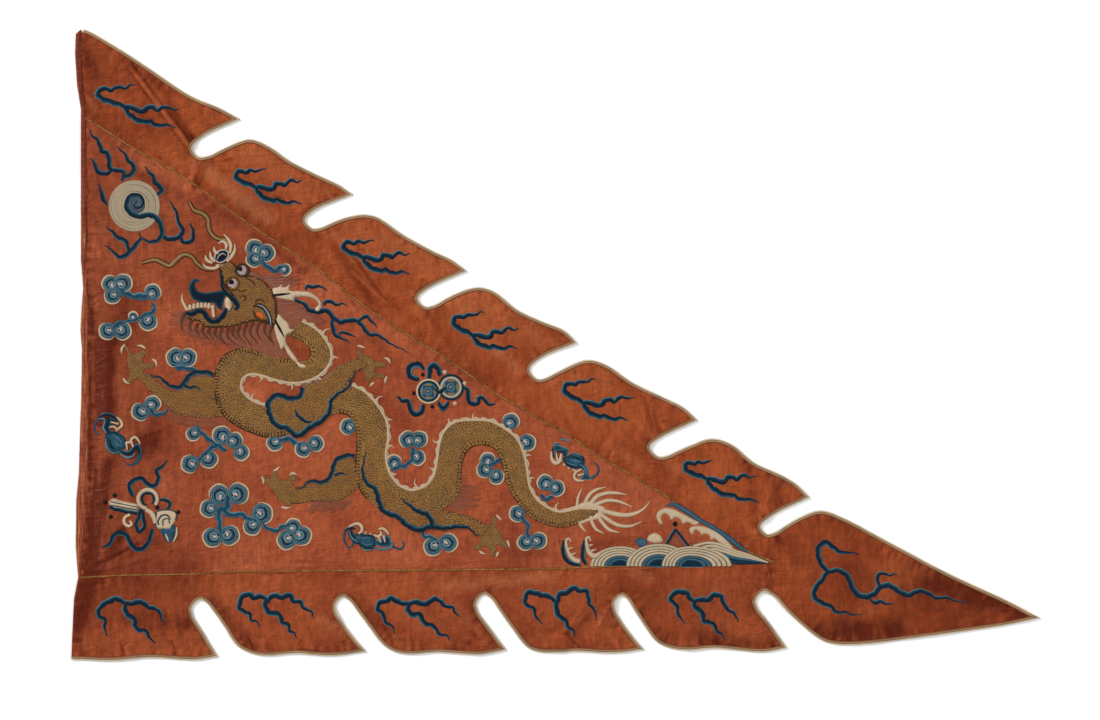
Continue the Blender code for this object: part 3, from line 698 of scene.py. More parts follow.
NECK_SEAM = (0.0059, 0.0462)  # from its foot to the field's tip
STRIP_STEP, STRIP_REACH, STRIP_DEPTH = 0.003, 0.0016, 0.5  # the depth in mm
seams = [band(line, [2.4, 2.1, 2.6, 2.2, 2.7], rise=0.3, base=0.15) for line in SEAM_LINES]
face = face_of("field")
loop = edge_loop(face)
face.free()
tip = loop[np.argmax(loop[:, 0])]
for line in (np.vstack([loop, loop[:1]]), np.array([tip, tip - NECK_SEAM])):
    # a strip in the gap, just under the face, so that no floor shows between the panels
    middle = evenly(line, STRIP_STEP)
    sides = [middle + left_of(middle) * across for across in (STRIP_REACH, -STRIP_REACH)]
    rows = [on_face(flat, -STRIP_DEPTH) for flat in sides]
    seams.append(grid(np.stack(rows, axis=1), np.zeros((len(middle), 2, 2))))
sew("gold_seam_lines", seams, stitched("couched_gold_line", ("#7A3A20", "#6A4020", "#8A6230"), thread_mm=3.4,
                                       roughness=0.6, mottle=0.8))

# Each tooth of the borders carries one curling flame in indigo silk floss: three licks that start
# from one joint, in satin stitch shaded from a light teal edge to nearly black blue.
INDIGO = [
    (0, "#5C8288"), (0.1, "#2C5660"), (0.24, "#163A4A"), (0.45, "#0B2234"), (0.8, "#081722"),
    (0.93, "#12323E"), (1, "#2A525A"),
]
indigo_floss = stitched("indigo_silk_floss", INDIGO, thread_mm=2.0, mottle=0.22)
LICKS_ABOVE = [
    # the back, middle and front lick of a flame on the upper border, from the joint to the tip, in squares
    [(0, 0), (-4.6, -2.7), (-10, -5.3), (-15, -7.6), (-19, -12), (-18.4, -17), (-12.6, -19.4), (-8, -18),
     (-3.6, -21.2), (3, -20.4), (8, -23.4), (12.5, -23.2)],
    [(0, 0), (6, -0.6), (12.5, 2), (18.5, 1), (22.4, -3.2), (27, -3.4), (31, -1.6), (35, -4.6), (40, -6.4),
     (45, -4.6), (50.8, -6)],
    [(0, 0), (1.6, 4.8), (5.4, 9), (11, 12.6), (17.5, 14.6), (23, 14.2), (27.4, 17), (32.6, 18.2),
     (37, 16.6), (41, 18), (46.5, 19.4)],
]
LICKS_ABOVE_WIDE = [[(x * reach, y) for x, y in shape] for shape, reach in zip(LICKS_ABOVE, (1.32, 1, 1))]
FLAMES = [
    # licks, joint, tips of the three licks, in squares
    (LICKS_ABOVE_WIDE, (125, 107), (137, 85.5), (179, 109), (175.7, 127.6)),
    (LICKS_ABOVE, (256, 187.5), (266, 169.5), (302, 180.3), (301.7, 203.6)),
    (LICKS_ABOVE, (363, 257.5), (374.3, 241), (410, 253.5), (410, 273.7)),
    (LICKS_ABOVE, (473, 335.5), (484, 312.3), (518.5, 328), (517.5, 348)),
    (LICKS_ABOVE, (583.2, 403), (596, 379), (634, 397), (628, 420)),
    (LICKS_ABOVE, (706.6, 478.8), (712.7, 461), (755, 476), (759.4, 502.4)),
]
LOWER_LICKS = [
    # the back, right and lower lick of each flame on the lower border, from the joint to the tip
    [(125, 603), (116.6, 598.4), (108.4, 601.6), (100.6, 606.6), (98.4, 615), (105, 620), (104.6, 628.4),
     (107.4, 636)],
    [(125, 603), (133.4, 603), (141.6, 601.6), (148.4, 606.6), (158.4, 610), (161.6, 618), (165.4, 623)],
    [(125, 603), (126, 613), (133.4, 618.4), (136.6, 628.4), (146.6, 631.6), (150, 638.4), (156, 643)],
    [(266, 599), (261, 595.6), (255, 597.6), (249, 594), (243.4, 595.6), (240, 602), (239.4, 608),
     (245, 611.6), (249.4, 614), (251.4, 620), (256.6, 621.6), (260, 626.4)],
    [(267.6, 603), (270, 597), (277, 595.6), (283, 597), (290, 594.4), (294, 601), (301, 602), (304, 608),
     (311, 611), (314, 618.4)],
    [(266, 598), (265, 605), (268, 611.6), (274, 613), (280, 615), (282, 622), (288, 625), (290, 631),
     (294, 633), (297, 638)],
    [(409, 604), (403, 603), (397, 601), (392, 598), (385, 601), (379, 603), (377.4, 609), (383, 614),
     (385, 622), (391, 625), (394.6, 633)],
    [(408, 605), (414, 601.4), (420, 603), (427.6, 603), (433.8, 598.8), (441.2, 601.2), (443.8, 605.4),
     (452.4, 607), (456.2, 613.8), (461.2, 616.2)],
    [(409, 603), (408, 610), (412, 614.4), (420, 614.4), (423.8, 622.4), (433.8, 626.2), (438.8, 633.8),
     (446.2, 635.4), (450.4, 640.4)],
    [(555, 601.4), (550, 596.4), (542.4, 595), (536.2, 593), (528.8, 592), (525, 597.4), (526.2, 605),
     (532.4, 607.4), (535, 613.8), (537.4, 619.4), (543, 623.8)],
    [(556.4, 606), (557.4, 600), (560, 593.8), (567.4, 592), (573, 587.6), (580, 590.4), (587, 591.2),
     (588.8, 598.8), (590, 605), (594.2, 608.8), (596.2, 620)],
    [(556.2, 601), (556.2, 610), (560, 617), (565, 620), (567.4, 626.2), (572.4, 630), (575.4, 637)],
    [(693, 601), (690, 598), (687, 593), (679, 591.6), (672, 594.4), (670.4, 600), (676, 605), (677.6, 613),
     (681, 619), (685, 623)],
    [(694, 601), (700, 599), (707, 600), (713, 595), (721, 596), (724, 604), (729, 610), (734, 613),
     (738.4, 622)],
    [(694, 600), (694.4, 607), (701, 611), (704, 621), (712, 623), (717, 631), (721, 634), (724.4, 639.6)],
]
LICK_WIDTHS = [4.4, 5.8, 5.8, 5.4, 4.8, 4.2, 3, 0.8]


def lick(points, turned):
    """One lick of a flame, from its joint to its tip. A turned one has its light edge on the other side."""
    if turned:
        return band(points[::-1], LICK_WIDTHS[::-1], knobs=0.13)
    return band(points, LICK_WIDTHS, knobs=0.13)


parts = [lick(points, turned=i % 3 != 1) for i, points in enumerate(LOWER_LICKS)]
for licks, joint, *tips in FLAMES:
    for shape, tip in zip(licks, tips):
        # each lick is drawn out to its own tip
        share = np.linspace(0, 1, len(shape))[:, None]
        points = np.array(shape, float) + joint + share * (np.subtract(tip, joint) - shape[-1])
        parts.append(lick(points, turned=shape is licks[2]))
sew("border_flames", parts, indigo_floss)

# The tail carries a larger flame of the same floss: a long wave with a hook and a loop at its root and
# two short sprigs.
TAIL_FLAME = [
    # widths, points in squares
    ([0.6, 3.2, 5.4, 5.8, 5.6, 5], [(859.4, 554.5), (850, 552.4), (840, 552), (831.8, 546.3), (824.7, 542.2),
        (818.8, 547.3), (818.4, 555.5), (821.4, 563.7), (827, 571)]),
    ([0.6, 3, 5.2, 5.6, 5], [(862.4, 614), (852.2, 614.7), (844, 612), (836, 612), (829.8, 606),
        (820.6, 602.4), (813.8, 596.3), (814.8, 588.2), (821.6, 580), (826.5, 572)]),
    ([4.6, 5.8, 6, 6, 5, 3.4, 0.6], [(826, 572), (838, 570.2), (846.6, 574.9), (850.2, 582), (854.6, 591.2),
        (862.4, 596.3), (872.7, 594.3), (880.8, 586.4), (889, 585.2), (897.2, 590), (907.3, 595),
        (917.6, 591), (926, 592), (936, 597.6), (946, 597.3), (956.3, 600.8), (967, 602.6)]),
    ([3.6, 4.4, 2.6, 0.6], [(880, 586), (876.6, 580), (879.4, 573.6), (884, 573), (889, 575.4), (893, 573.6),
        (898.4, 576)]),
    ([1.4, 4.4, 2.8, 0.6], [(868, 597.6), (875.7, 602.6), (881, 600.8), (886, 603.8), (894.4, 602.2)]),
]
sew("tail_flame", bands(TAIL_FLAME, knobs=0.1), indigo_floss)

# The flaming pearl near the hoist is a disc of cream floss laid in rings, with an indigo spiral that
# runs out into flames above it and below it.
PEARL_CENTRE = (134.6, 206.0)
PEARL_RADIUS = 25.4
PEARL_RINGS = 12
CREAM = [(0, "#7F6A50"), (0.14, "#A78F73"), (0.4, "#B7A287"), (0.8, "#AB957A"), (1, "#7C664C")]
cream_floss = stitched("cream_silk_floss", CREAM, thread_mm=2.4, mottle=0.12)
ring_width = PEARL_RADIUS / PEARL_RINGS
parts = []
for i in range(PEARL_RINGS):
    radius = PEARL_RADIUS - ring_width * (i + 0.5)
    wander = 0.3 * math.sin(2.1 * i)
    centre = np.add(PEARL_CENTRE, (wander, -wander))
    line = arc(centre, radius, 40 * i, 360, 24)
    parts.append(band(line, [ring_width * 1.36], rise=0.35, base=0.2 + 0.04 * i))
sew("pearl_rings", parts, stitched("grey_cream_floss", ("#6E5F4B", "#8E7F68", "#9E8E76"), thread_mm=2.4,
                                   mottle=0.12))
PEARL_CORE = (136.4, 204.8)  # the middle of the dark heart
parts = [ring(PEARL_CORE, radius, 3.4, rise=0.25, base=0.8, step=1.2) for radius in (1.6, 4.5, 7.4)]
SLATE = [(0, "#5E686A"), (0.3, "#414A54"), (0.8, "#333A46"), (1, "#5E686A")]
sew("pearl_core", parts, stitched("slate_silk_floss", SLATE, thread_mm=2.4, mottle=0.3))
PEARL_FLAMES = [
    # widths, height of the base in mm, points in squares
    ([1.5, 3.4, 4.6, 5.2, 5.6, 5.8, 5.4, 4.6, 3, 0.8], 0.75, [(137, 201), (134.4, 204.4), (136.6, 207.8),
        (140.6, 207), (143, 202.6), (141.4, 197.4), (136, 195), (130, 197), (127, 203), (128.2, 210),
        (134, 215), (142, 216.2), (150, 214.8), (157, 218.6), (161.6, 226), (162, 234), (159, 239.6),
        (152.5, 242), (145.4, 240.6), (140.8, 236.6), (139.4, 232.4)]),
    ([4.4, 5.2, 4.8, 4, 3, 0.8], 0.2, [(162, 235), (167.7, 238.6), (173, 239), (178.5, 236.6),
        (182.4, 232.6), (182, 228), (178.6, 223.4), (177.4, 216.6), (175.4, 210.4), (171.6, 204),
        (169.6, 200.4)]),
    ([3.4, 4.6, 4.6, 3.2, 0.8], 0.2, [(180.6, 236), (183, 241.4), (187.4, 242.6), (191.8, 240.2),
        (193.2, 235), (192.4, 228.6), (189.4, 222.6)]),
    ([3.6, 5, 5.2, 4.4, 2.6, 0.8], 0.2, [(141.2, 238.4), (137.3, 243.4), (132.4, 249), (127, 254.6),
        (120.6, 257.4), (115.4, 254.4), (112, 250), (104.6, 245.6)]),
    ([3.6, 4.8, 4.4, 3, 0.8], 0.2, [(128.6, 249.6), (126.8, 244.2), (124.2, 239.6), (118, 238.2),
        (114, 233.4), (109.6, 229.6), (105.6, 226.6)]),
    ([0.8, 3, 4.6, 5.2, 5.2, 4.8, 4.4, 3.6], 0.2, [(89.6, 129.2), (93.2, 136.4), (97.8, 139.8), (100.6, 146),
        (102.4, 150.8), (107.2, 153), (109.4, 158), (109.4, 164.6), (111.8, 169.6), (118, 170.2),
        (124.4, 172.6), (122, 180.8)]),
    ([0.8, 3.4, 5, 5, 4], 0.2, [(90, 157.8), (94.6, 162.4), (96.6, 169), (101.4, 173.2), (106, 173.6),
        (111, 171)]),
    ([0.8, 3, 4.6, 5, 4.4], 0.2, [(116.6, 146.4), (121.5, 150.4), (125.7, 154.8), (129, 161), (133.8, 165.4),
        (134, 170.4), (130.6, 175), (124.6, 176.6)]),
    ([0.8, 3, 4.4, 5.2, 5.4, 3.6], 0.2, [(145.2, 166.4), (149, 171.8), (153.6, 176.4), (155.8, 183),
        (160, 186.2), (161.8, 190.4), (157.6, 195.2)]),
    ([0.8, 2.6, 4.8, 5.4, 1.2], 0.2, [(99, 183), (101.4, 190.2), (103.2, 197.4), (106, 203),
        (107.2, 205.6)]),
]
parts = [band(points, widths, base=base, knobs=0.1) for widths, base, points in PEARL_FLAMES]
sew("pearl_flames", parts, indigo_floss)

# The dragon's body winds through the field. It is padded and covered with small scales of couched gold
# thread, each with a dark outline, on a darker ground.
BODY = [
    # the fin's edge and the belly's edge, in squares, from the neck to the tail
    (302, 321.5, 286, 333), (316, 329, 297, 338), (327.5, 343, 308, 345), (331.4, 354.6, 311.5, 352),
    (328.8, 364.8, 310, 358), (321, 373.8, 304.6, 361), (309.7, 380, 299, 361.5),
    (294.4, 382.7, 291.8, 359.7), (276.5, 380, 281, 358.5), (261, 375, 262, 353), (251, 373.8, 242, 348.3),
    (243.4, 377.6, 223, 357), (240.8, 385, 214, 381.4), (241.5, 390, 216, 396.7), (244.6, 394, 223, 414.6),
    (249, 398.5, 237, 426), (254.8, 401.8, 251, 432.4), (265, 405.7, 266.3, 437), (283, 407, 285, 435),
    (302, 402, 306, 428), (322, 391, 326, 418), (337, 386, 340, 413), (351.8, 385, 349, 415.5),
    (364.5, 391.6, 354, 423), (374.7, 401.8, 356.5, 432), (381, 410.8, 357, 441), (386.5, 422, 357, 450),
    (388, 437.4, 356, 462), (385.7, 453.5, 356, 475), (386.5, 463, 359, 487), (389.2, 471.8, 366, 498),
    (398.4, 484.5, 380, 510), (411, 490.2, 404, 521), (420, 488.6, 432, 516), (427.5, 484.5, 450, 505),
    (434, 475.3, 460, 492), (437.4, 460.4, 461, 477), (439.7, 444.3, 461.5, 465),
    (444.3, 431.7, 464.5, 455.5), (454.6, 422.5, 470, 448), (474.1, 420.2, 477, 445),
    (490.2, 421.3, 488, 445.5), (504, 428.2, 495, 449), (516.6, 438.5, 499.5, 456), (523.5, 453.5, 503, 467),
    (526.9, 469.5, 506, 478), (529.2, 485.6, 511, 492), (535, 497, 520, 505), (545.3, 506.3, 533, 518),
    (559, 512, 553, 526), (570, 510.5, 568, 526), (580, 508.5, 580, 521.5), (590, 509, 590, 516),
    (598, 510, 598, 513),
]
SCALE_PITCH = 2.5
BODY_RISE = 1.1
ROW_PITCH = SCALE_PITCH * 0.86
SIDE_SCALES = 0.06  # the share of a row's width at which its outer scales stand at least
SCALE_SEED = 3
SCALE_JITTER = 0.34  # in squares
SCALE_LENGTHS = (0.7, 1.3)
SCALE_TILT = 0.22  # mm that the free end stands higher than the middle
SCALE_CORNERS = 7
SCALE_RINGS = [
    # share of the scale's reach, mm up, number of points
    (0.0, 0.45, 1), (0.62, 0.38, SCALE_CORNERS), (1.0, 0.05, SCALE_CORNERS),
]


def coat(sides, rise, base=0.15, columns=11, step=2.5):
    """A padded surface between two sides, given as rows of x, y, x, y in squares."""
    rows = line_through(sides, step)
    share = np.linspace(0, 1, columns)
    places = rows[:, None, :2] + (rows[:, None, 2:] - rows[:, None, :2]) * share[None, :, None]
    flat = on_cloth(places.reshape(-1, 2))
    dome = base + rise * np.sqrt(1 - (2 * share - 1) ** 2)
    dome[[0, -1]] = SUNK_EDGE
    along = np.repeat(np.arange(len(rows)) * step * SQUARE, columns)
    shape = (len(rows), columns, -1)
    return grid(on_face(flat, np.tile(dome, len(rows))).reshape(shape),
                np.column_stack([np.tile(share, len(rows)), along]).reshape(shape))


def shingles(centres, ahead, half_long, half_wide, heights):
    """Small scales with their free ends forwards and up, like shingles. Lengths are in squares."""
    centres, ahead = np.asarray(centres, float), np.asarray(ahead, float)
    side = np.column_stack([-ahead[:, 1], ahead[:, 0]])
    turns = np.linspace(0, 2 * math.pi, SCALE_CORNERS, endpoint=False)
    chance = np.random.default_rng(SCALE_SEED)
    tones = chance.uniform(0, 1, len(centres))
    centres = centres + chance.normal(0, SCALE_JITTER, centres.shape)
    half_long = half_long * chance.uniform(*SCALE_LENGTHS, len(centres))
    heights = heights + chance.uniform(-0.1, 0.1, len(centres))
    places, maps = [], []
    for radius, up, count in SCALE_RINGS:
        for turn in turns[:count]:
            forward, across = radius * math.cos(turn), radius * math.sin(turn)
            at = centres + ahead * (half_long * forward)[:, None] + side * (half_wide * across)[:, None]
            height = CLOTH_THICKNESS + (heights + up + SCALE_TILT * forward) / 1000
            places.append(np.column_stack([on_cloth(at), height]))
            maps.append(np.column_stack([np.full(len(at), radius), tones]))
    places, maps = np.stack(places, axis=1), np.stack(maps, axis=1)
    places[:, :, 2] += lie(on_cloth(centres))[:, None]
    n, size = SCALE_CORNERS, places.shape[1]
    faces = []
    for start in range(0, len(centres) * size, size):
        for i in range(n):
            j = (i + 1) % n
            faces.append((start, start + 1 + i, start + 1 + j))
            faces.append((start + 1 + i, start + 1 + n + i, start + 1 + n + j, start + 1 + j))
    return places.reshape(-1, 3), faces, maps.reshape(-1, 2)


GOLD_SCALE = [(0, "#A0742A"), (0.4, "#865C1E"), (0.75, "#6A4616"), (0.98, "#523612")]
gold_ground = stitched("couched_gold_ground", ("#3B2712", "#62441E", "#6C4C22"), thread_mm=2.0, metallic=0.2,
                       mottle=0.3)
SCALE_SHEEN = {"thread_mm": 60.0, "roughness": 0.45, "metallic": 0.25, "mottle": 0.5}
gold_scale = stitched("couched_gold_scales", GOLD_SCALE, **SCALE_SHEEN)
sew("body_ground", [coat(BODY, BODY_RISE)], gold_ground)
rows = line_through(BODY, 0.5)
middle = (rows[:, :2] + rows[:, 2:]) / 2
stations = np.concatenate([[0], np.cumsum(np.linalg.norm(np.diff(middle, axis=0), axis=1))])
centres, ahead, wide, heights = [], [], [], []
for i, station in enumerate(np.arange(2.0, stations[-1] - 3, ROW_PITCH)):
    row = np.array([np.interp(station, stations, column) for column in rows.T])
    later = np.array([np.interp(station + 1.5, stations, column) for column in rows.T])
    span = np.linalg.norm(row[2:] - row[:2])
    count = max(2, round(span / SCALE_PITCH))
    for k in range(count + i % 2):
        share = (k + (0.0 if i % 2 else 0.5)) / count
        share = min(max(share, SIDE_SCALES), 1 - SIDE_SCALES)
        at = row[:2] + (row[2:] - row[:2]) * share
        ahead.append(later[:2] + (later[2:] - later[:2]) * share - at)
        centres.append(at)
        wide.append(span / count * 0.56)
        heights.append(0.1 + BODY_RISE * math.sqrt(1 - (2 * share - 1) ** 2))
ahead = np.array(ahead) / np.linalg.norm(ahead, axis=1)[:, None]
scales = shingles(centres, ahead, SCALE_PITCH * 0.64, np.array(wide), np.array(heights))
sew("body_scales", [scales], gold_scale)

# The legs are couched gold too, of a warmer thread than the body. Each ends in a paw with four toes,
# and the toes have cream claws.
LEGS = [
    # the way the scales point in degrees, the outline in squares
    (155, [(139, 367), (149, 374), (155, 378), (160.5, 382.5), (166, 388), (172, 391), (178, 390),
        (184, 386.5), (190, 379.5), (196, 375.5), (204, 374.5), (213, 376), (218, 381), (216, 397),
        (223, 416), (214, 418), (204, 419), (195, 418), (186, 416.5), (177, 414.5), (171, 411), (164, 404),
        (157, 397.5), (150, 391.5), (143, 384), (137, 377)]),
    (40, [(357, 359), (348, 361.5), (340, 365), (333, 370), (324, 377), (313, 382.5), (303, 385.5),
        (303, 393), (296, 399), (288, 398.5), (279, 396), (271.5, 400), (269, 408), (271, 417), (276.5, 424),
        (286.7, 427), (293, 432), (300, 434.5), (306, 430), (313, 425), (321, 421), (326.5, 415), (329, 408),
        (331, 401), (338, 396), (345, 390), (349, 383), (352.5, 377), (358, 371), (366, 368), (367, 362)]),
    (190, [(292, 479), (296.5, 488), (304, 486.5), (311.4, 481.5), (323, 483), (330, 477), (333, 467),
        (342.9, 457.5), (354, 456.5), (357, 470), (359, 487), (352, 493), (345, 499), (335, 502), (318, 502),
        (306, 503), (296, 504.5), (288, 503), (283, 494), (284, 484)]),
    (-25, [(366.5, 453), (364, 462), (364, 470), (367, 480), (375, 488), (379, 495), (381, 504), (386, 511),
        (397.6, 515.5), (404, 521), (410, 525.5), (419, 528.5), (431, 525.5), (442, 527), (459, 525.5),
        (468, 527), (476, 535), (484, 534), (488, 527), (480, 521), (470, 516.5), (458, 513), (446, 510),
        (434, 507), (421, 502), (406, 497), (392, 489), (381, 477), (373, 461)]),
]
PAWS = [
    [(126, 345), (129.5, 347), (131, 352), (134, 353.5), (139, 352), (141.5, 350), (145, 350), (146.5, 353),
     (144, 357), (143, 362), (147, 363.5), (151, 362), (155, 364), (155.5, 367.5), (150, 369), (145, 370),
     (142, 375), (138, 379), (134, 380), (133, 383), (130, 384), (127, 381), (129, 377), (130, 372),
     (128, 366), (127, 360), (128, 355), (126, 351), (124.5, 347)],
    [(357, 348), (361, 350), (364, 355), (370, 356), (375, 361), (382, 362), (387, 363.5), (386, 367.5),
     (378, 367.5), (374, 371), (378, 374), (384, 373), (386, 377), (381, 379), (374, 377), (370, 381),
     (366, 382), (365, 376), (362, 371), (355, 369), (352, 362), (358, 360), (356, 354)],
    [(264, 474), (268, 475), (272, 478), (273, 472), (276, 471), (279, 475), (281, 480), (286, 480),
     (291, 474), (296, 474), (298, 478), (293, 483), (296, 488), (293, 496), (291, 501), (292, 505),
     (289, 507), (284, 504), (278, 500), (274, 494), (270, 488), (266, 482)],
    [(484, 527), (490, 524), (492, 517), (494, 515), (497, 518), (497, 527), (501, 533), (505, 540),
     (508, 547), (506, 549), (501, 546), (497, 545), (496, 552), (493, 557), (490, 556), (489, 549),
     (484, 547), (479, 550), (475, 550), (475, 546), (479, 542), (480, 537), (476, 533)],
]
CLAWS = [
    [(125, 344.6), (122.2, 348), (121.6, 354)], [(145.6, 348.4), (142, 346), (137, 345.4)],
    [(152.6, 359), (155.8, 361.6), (156.8, 366.4)], [(123.4, 378.2), (126, 381.6), (130, 384)],
    [(357.4, 345.6), (361, 346.4), (365.4, 348)], [(384.6, 357.6), (388.4, 359.6), (390.6, 363.8)],
    [(387, 376.4), (385.6, 379.6), (385, 383.4)], [(374.4, 382.2), (371.6, 384.2), (369.4, 386.8)],
    [(261.8, 476.6), (263.6, 480), (263.2, 484.4)], [(273.6, 470.8), (277, 469.4), (280, 466.2)],
    [(289.6, 474.8), (293.6, 473.2), (297.4, 474.8)], [(281.2, 506.8), (285.6, 508), (290.6, 507.4)],
    [(496.4, 514.6), (498.8, 517.4), (502, 520)], [(507, 540), (508.4, 543.4), (509.6, 547.6)],
    [(498.6, 551.6), (497.4, 554), (496, 557)], [(479.4, 550.8), (482, 552.8), (485.4, 553.8)],
]


def depth_inside(places, loop):
    """How far places lie inside a closed outline, and below zero for those outside it."""
    span = np.roll(loop, -1, axis=0) - loop
    reach = places[:, None] - loop[None]
    share = np.clip((reach * span).sum(axis=2) / np.maximum((span ** 2).sum(axis=1), 1e-9), 0, 1)
    away = np.linalg.norm(reach - share[:, :, None] * span, axis=2).min(axis=1)
    level = np.where(span[:, 1] == 0, 1.0, span[:, 1])
    crossed = ((reach[:, :, 1] < 0) != (reach[:, :, 1] < span[:, 1])) & (
        reach[:, :, 0] < reach[:, :, 1] * span[:, 0] / level)
    return np.where(crossed.sum(axis=1) % 2 == 1, away, -away)


STAGGERED_ROWS = 0.87  # the rows' distance, as a share of the gap between places in a row
STITCH_RIM, SCALE_RIM = 0.9, 1.1  # how far stitches and scales keep from an outline, in squares


def lattice(loop, gap, least):
    """Evenly spaced places inside a closed outline, staggered from row to row."""
    left, top = loop.min(axis=0)
    right, bottom = loop.max(axis=0)
    x, y = np.meshgrid(np.arange(left - gap, right, gap), np.arange(top, bottom, gap * STAGGERED_ROWS))
    x[1::2] += gap / 2
    places = np.column_stack([x.ravel(), y.ravel()])
    return places[depth_inside(places, loop) > least]


def closed(outline, step=1.7):
    """A smooth closed outline through these points."""
    return line_through([*outline, outline[0]], step)[:-1]


def disc(centre, radius, count, step=1.7):
    """A round outline through this many points."""
    return closed(arc(centre, radius, 0, 360, count)[:-1], step)


def patch(loop, rise=0.6, base=0.15, rim=2.4, turn=90.0, gap=2.6):
    """An area of stitches inside a closed outline in squares, padded up from its edge.

    The stitch map runs from 0 at the edge to 0.5 inside, and the stitches lie square to the turn.
    """
    loop = np.asarray(loop, float)
    inner = lattice(loop, gap, STITCH_RIM)
    points = np.vstack([loop, inner]) * [1, -1]
    made = delaunay_2d_cdt([Vector(p) for p in points], [], [list(range(len(loop)))], 1, 1e-5)
    squares = np.array([tuple(v) for v in made[0]]) * [1, -1]
    depth = np.maximum(depth_inside(squares, loop), 0)
    depth[depth < 1e-3] = 0
    share = np.minimum(depth / rim, 1)
    height = np.where(depth > 0, base + rise * np.sqrt(1 - (1 - share) ** 2), SUNK_EDGE)
    along = squares @ [math.cos(math.radians(turn)), -math.sin(math.radians(turn))]
    return (on_face(on_cloth(squares), height), [tuple(face) for face in made[2]],
            np.column_stack([share / 2, along * SQUARE]))


def scales_inside(loop, turn, heights, size=SCALE_PITCH):
    """Couched scales all over the inside of an outline, that point one way."""
    centres = lattice(np.asarray(loop, float), size, SCALE_RIM)
    ahead = np.tile([math.cos(math.radians(turn)), -math.sin(math.radians(turn))], (len(centres), 1))
    low_edge, rise, rim = heights
    share = np.minimum(depth_inside(centres, np.asarray(loop, float)) / rim, 1)
    return shingles(centres, ahead, size * 0.6, np.full(len(centres), size * 0.55),
                    low_edge + rise * np.sqrt(1 - (1 - share) ** 2))


WARM_SCALE = [(0, "#A2721E"), (0.4, "#885814"), (0.75, "#6C4210"), (0.98, "#52320C")]
warm_scale = stitched("warm_gold_scales", WARM_SCALE, **SCALE_SHEEN)
loops = [closed(outline) for _, outline in LEGS]
lifts = [0.15, 1.2, 0.15, 1.2]  # the two legs on the near side lie over the body
sew("leg_ground", [patch(loop, 0.7, lift, 6.0) for loop, lift in zip(loops, lifts)], gold_ground)
sew("leg_scales", [scales_inside(loop, turn, (lift, 0.7, 6.0)) for loop, lift, (turn, _)
                   in zip(loops, lifts, LEGS)], warm_scale)
sew("paws", [patch(closed(outline), 0.35, 0.3, 2.0) for outline in PAWS], gold_ground)
sew("paw_scales", [scales_inside(closed(outline), 90, (0.2, 0.3, 2.0)) for outline in PAWS], gold_scale)
sew("claws", [band(points, [1.6, 3.0, 0.5], rise=0.4, base=0.4, step=1.2) for points in CLAWS], cream_floss)

# A cream fin of two rows of floss, the outer one scalloped, runs along the back with hooked spines. The
# belly's edge is overcast with dark brown stitches.
FIN_RUNS = [BODY[:18], BODY[22:]]
SPINES = [
    (330, 329), (338.4, 359), (323, 386.5), (291, 390), (259.3, 382), (255.5, 393.5), (448.9, 417.9),
    (474, 413.3), (494.8, 417.9), (432.8, 439.7), (429.4, 467.2), (415.6, 478.7), (392.6, 420.2),
    (393.8, 447.7), (397.2, 474), (531.5, 455.8), (535, 478.7), (383, 396.5), (559, 502.6),
]
BELLY_RUNS = [BODY[:9], BODY[9:19], BODY[21:31], BODY[35:]]
TICK_STEP = 3.3


def beside(points, offset):
    """A line at this distance to the left of another, in squares."""
    line = line_through(points, 2.0)
    return line + left_of(on_cloth(line)) * [offset, -offset]


parts = []
backs = []
for run in FIN_RUNS:
    back = [row[:2] for row in run]
    backs.append(line_through(back, 1.0))
    parts.append(band(beside(back, 0.3), [2.6], rise=0.5, base=0.8))
    parts.append(band(beside(back, 1.7), [2.0], rise=0.4, base=0.3, knobs=0.25))
backs = np.vstack(backs)
for x, y in SPINES:
    root = backs[np.argmin(np.linalg.norm(backs - (x, y), axis=1))]
    span = np.subtract((x, y), root)
    bend = np.array([span[1], -span[0]]) * 0.22
    hook = [root, root + span * 0.62 + bend, (x, y)]
    parts.append(band(hook, [2.8, 2.0, 0.6], rise=0.4, base=0.35, step=1.2))
sew("back_fin", parts, cream_floss)
umber_floss = stitched("umber_silk_floss", ("#2A1A0E", "#46301A"))
parts = []
for run in BELLY_RUNS:
    belly = line_through([row[2:] for row in run], TICK_STEP)
    parts.append(band(belly, [1.3], rise=0.3, base=0.2))
    for at, way in zip(belly, left_of(on_cloth(belly)) * [1, -1]):
        tick = [at - 0.7 * way, at + 3.9 * way]
        parts.append(band(tick, [1.6, 1.0], rise=0.3, base=[0.35, 1.5], step=2.3))
sew("belly_stitches", parts, umber_floss)

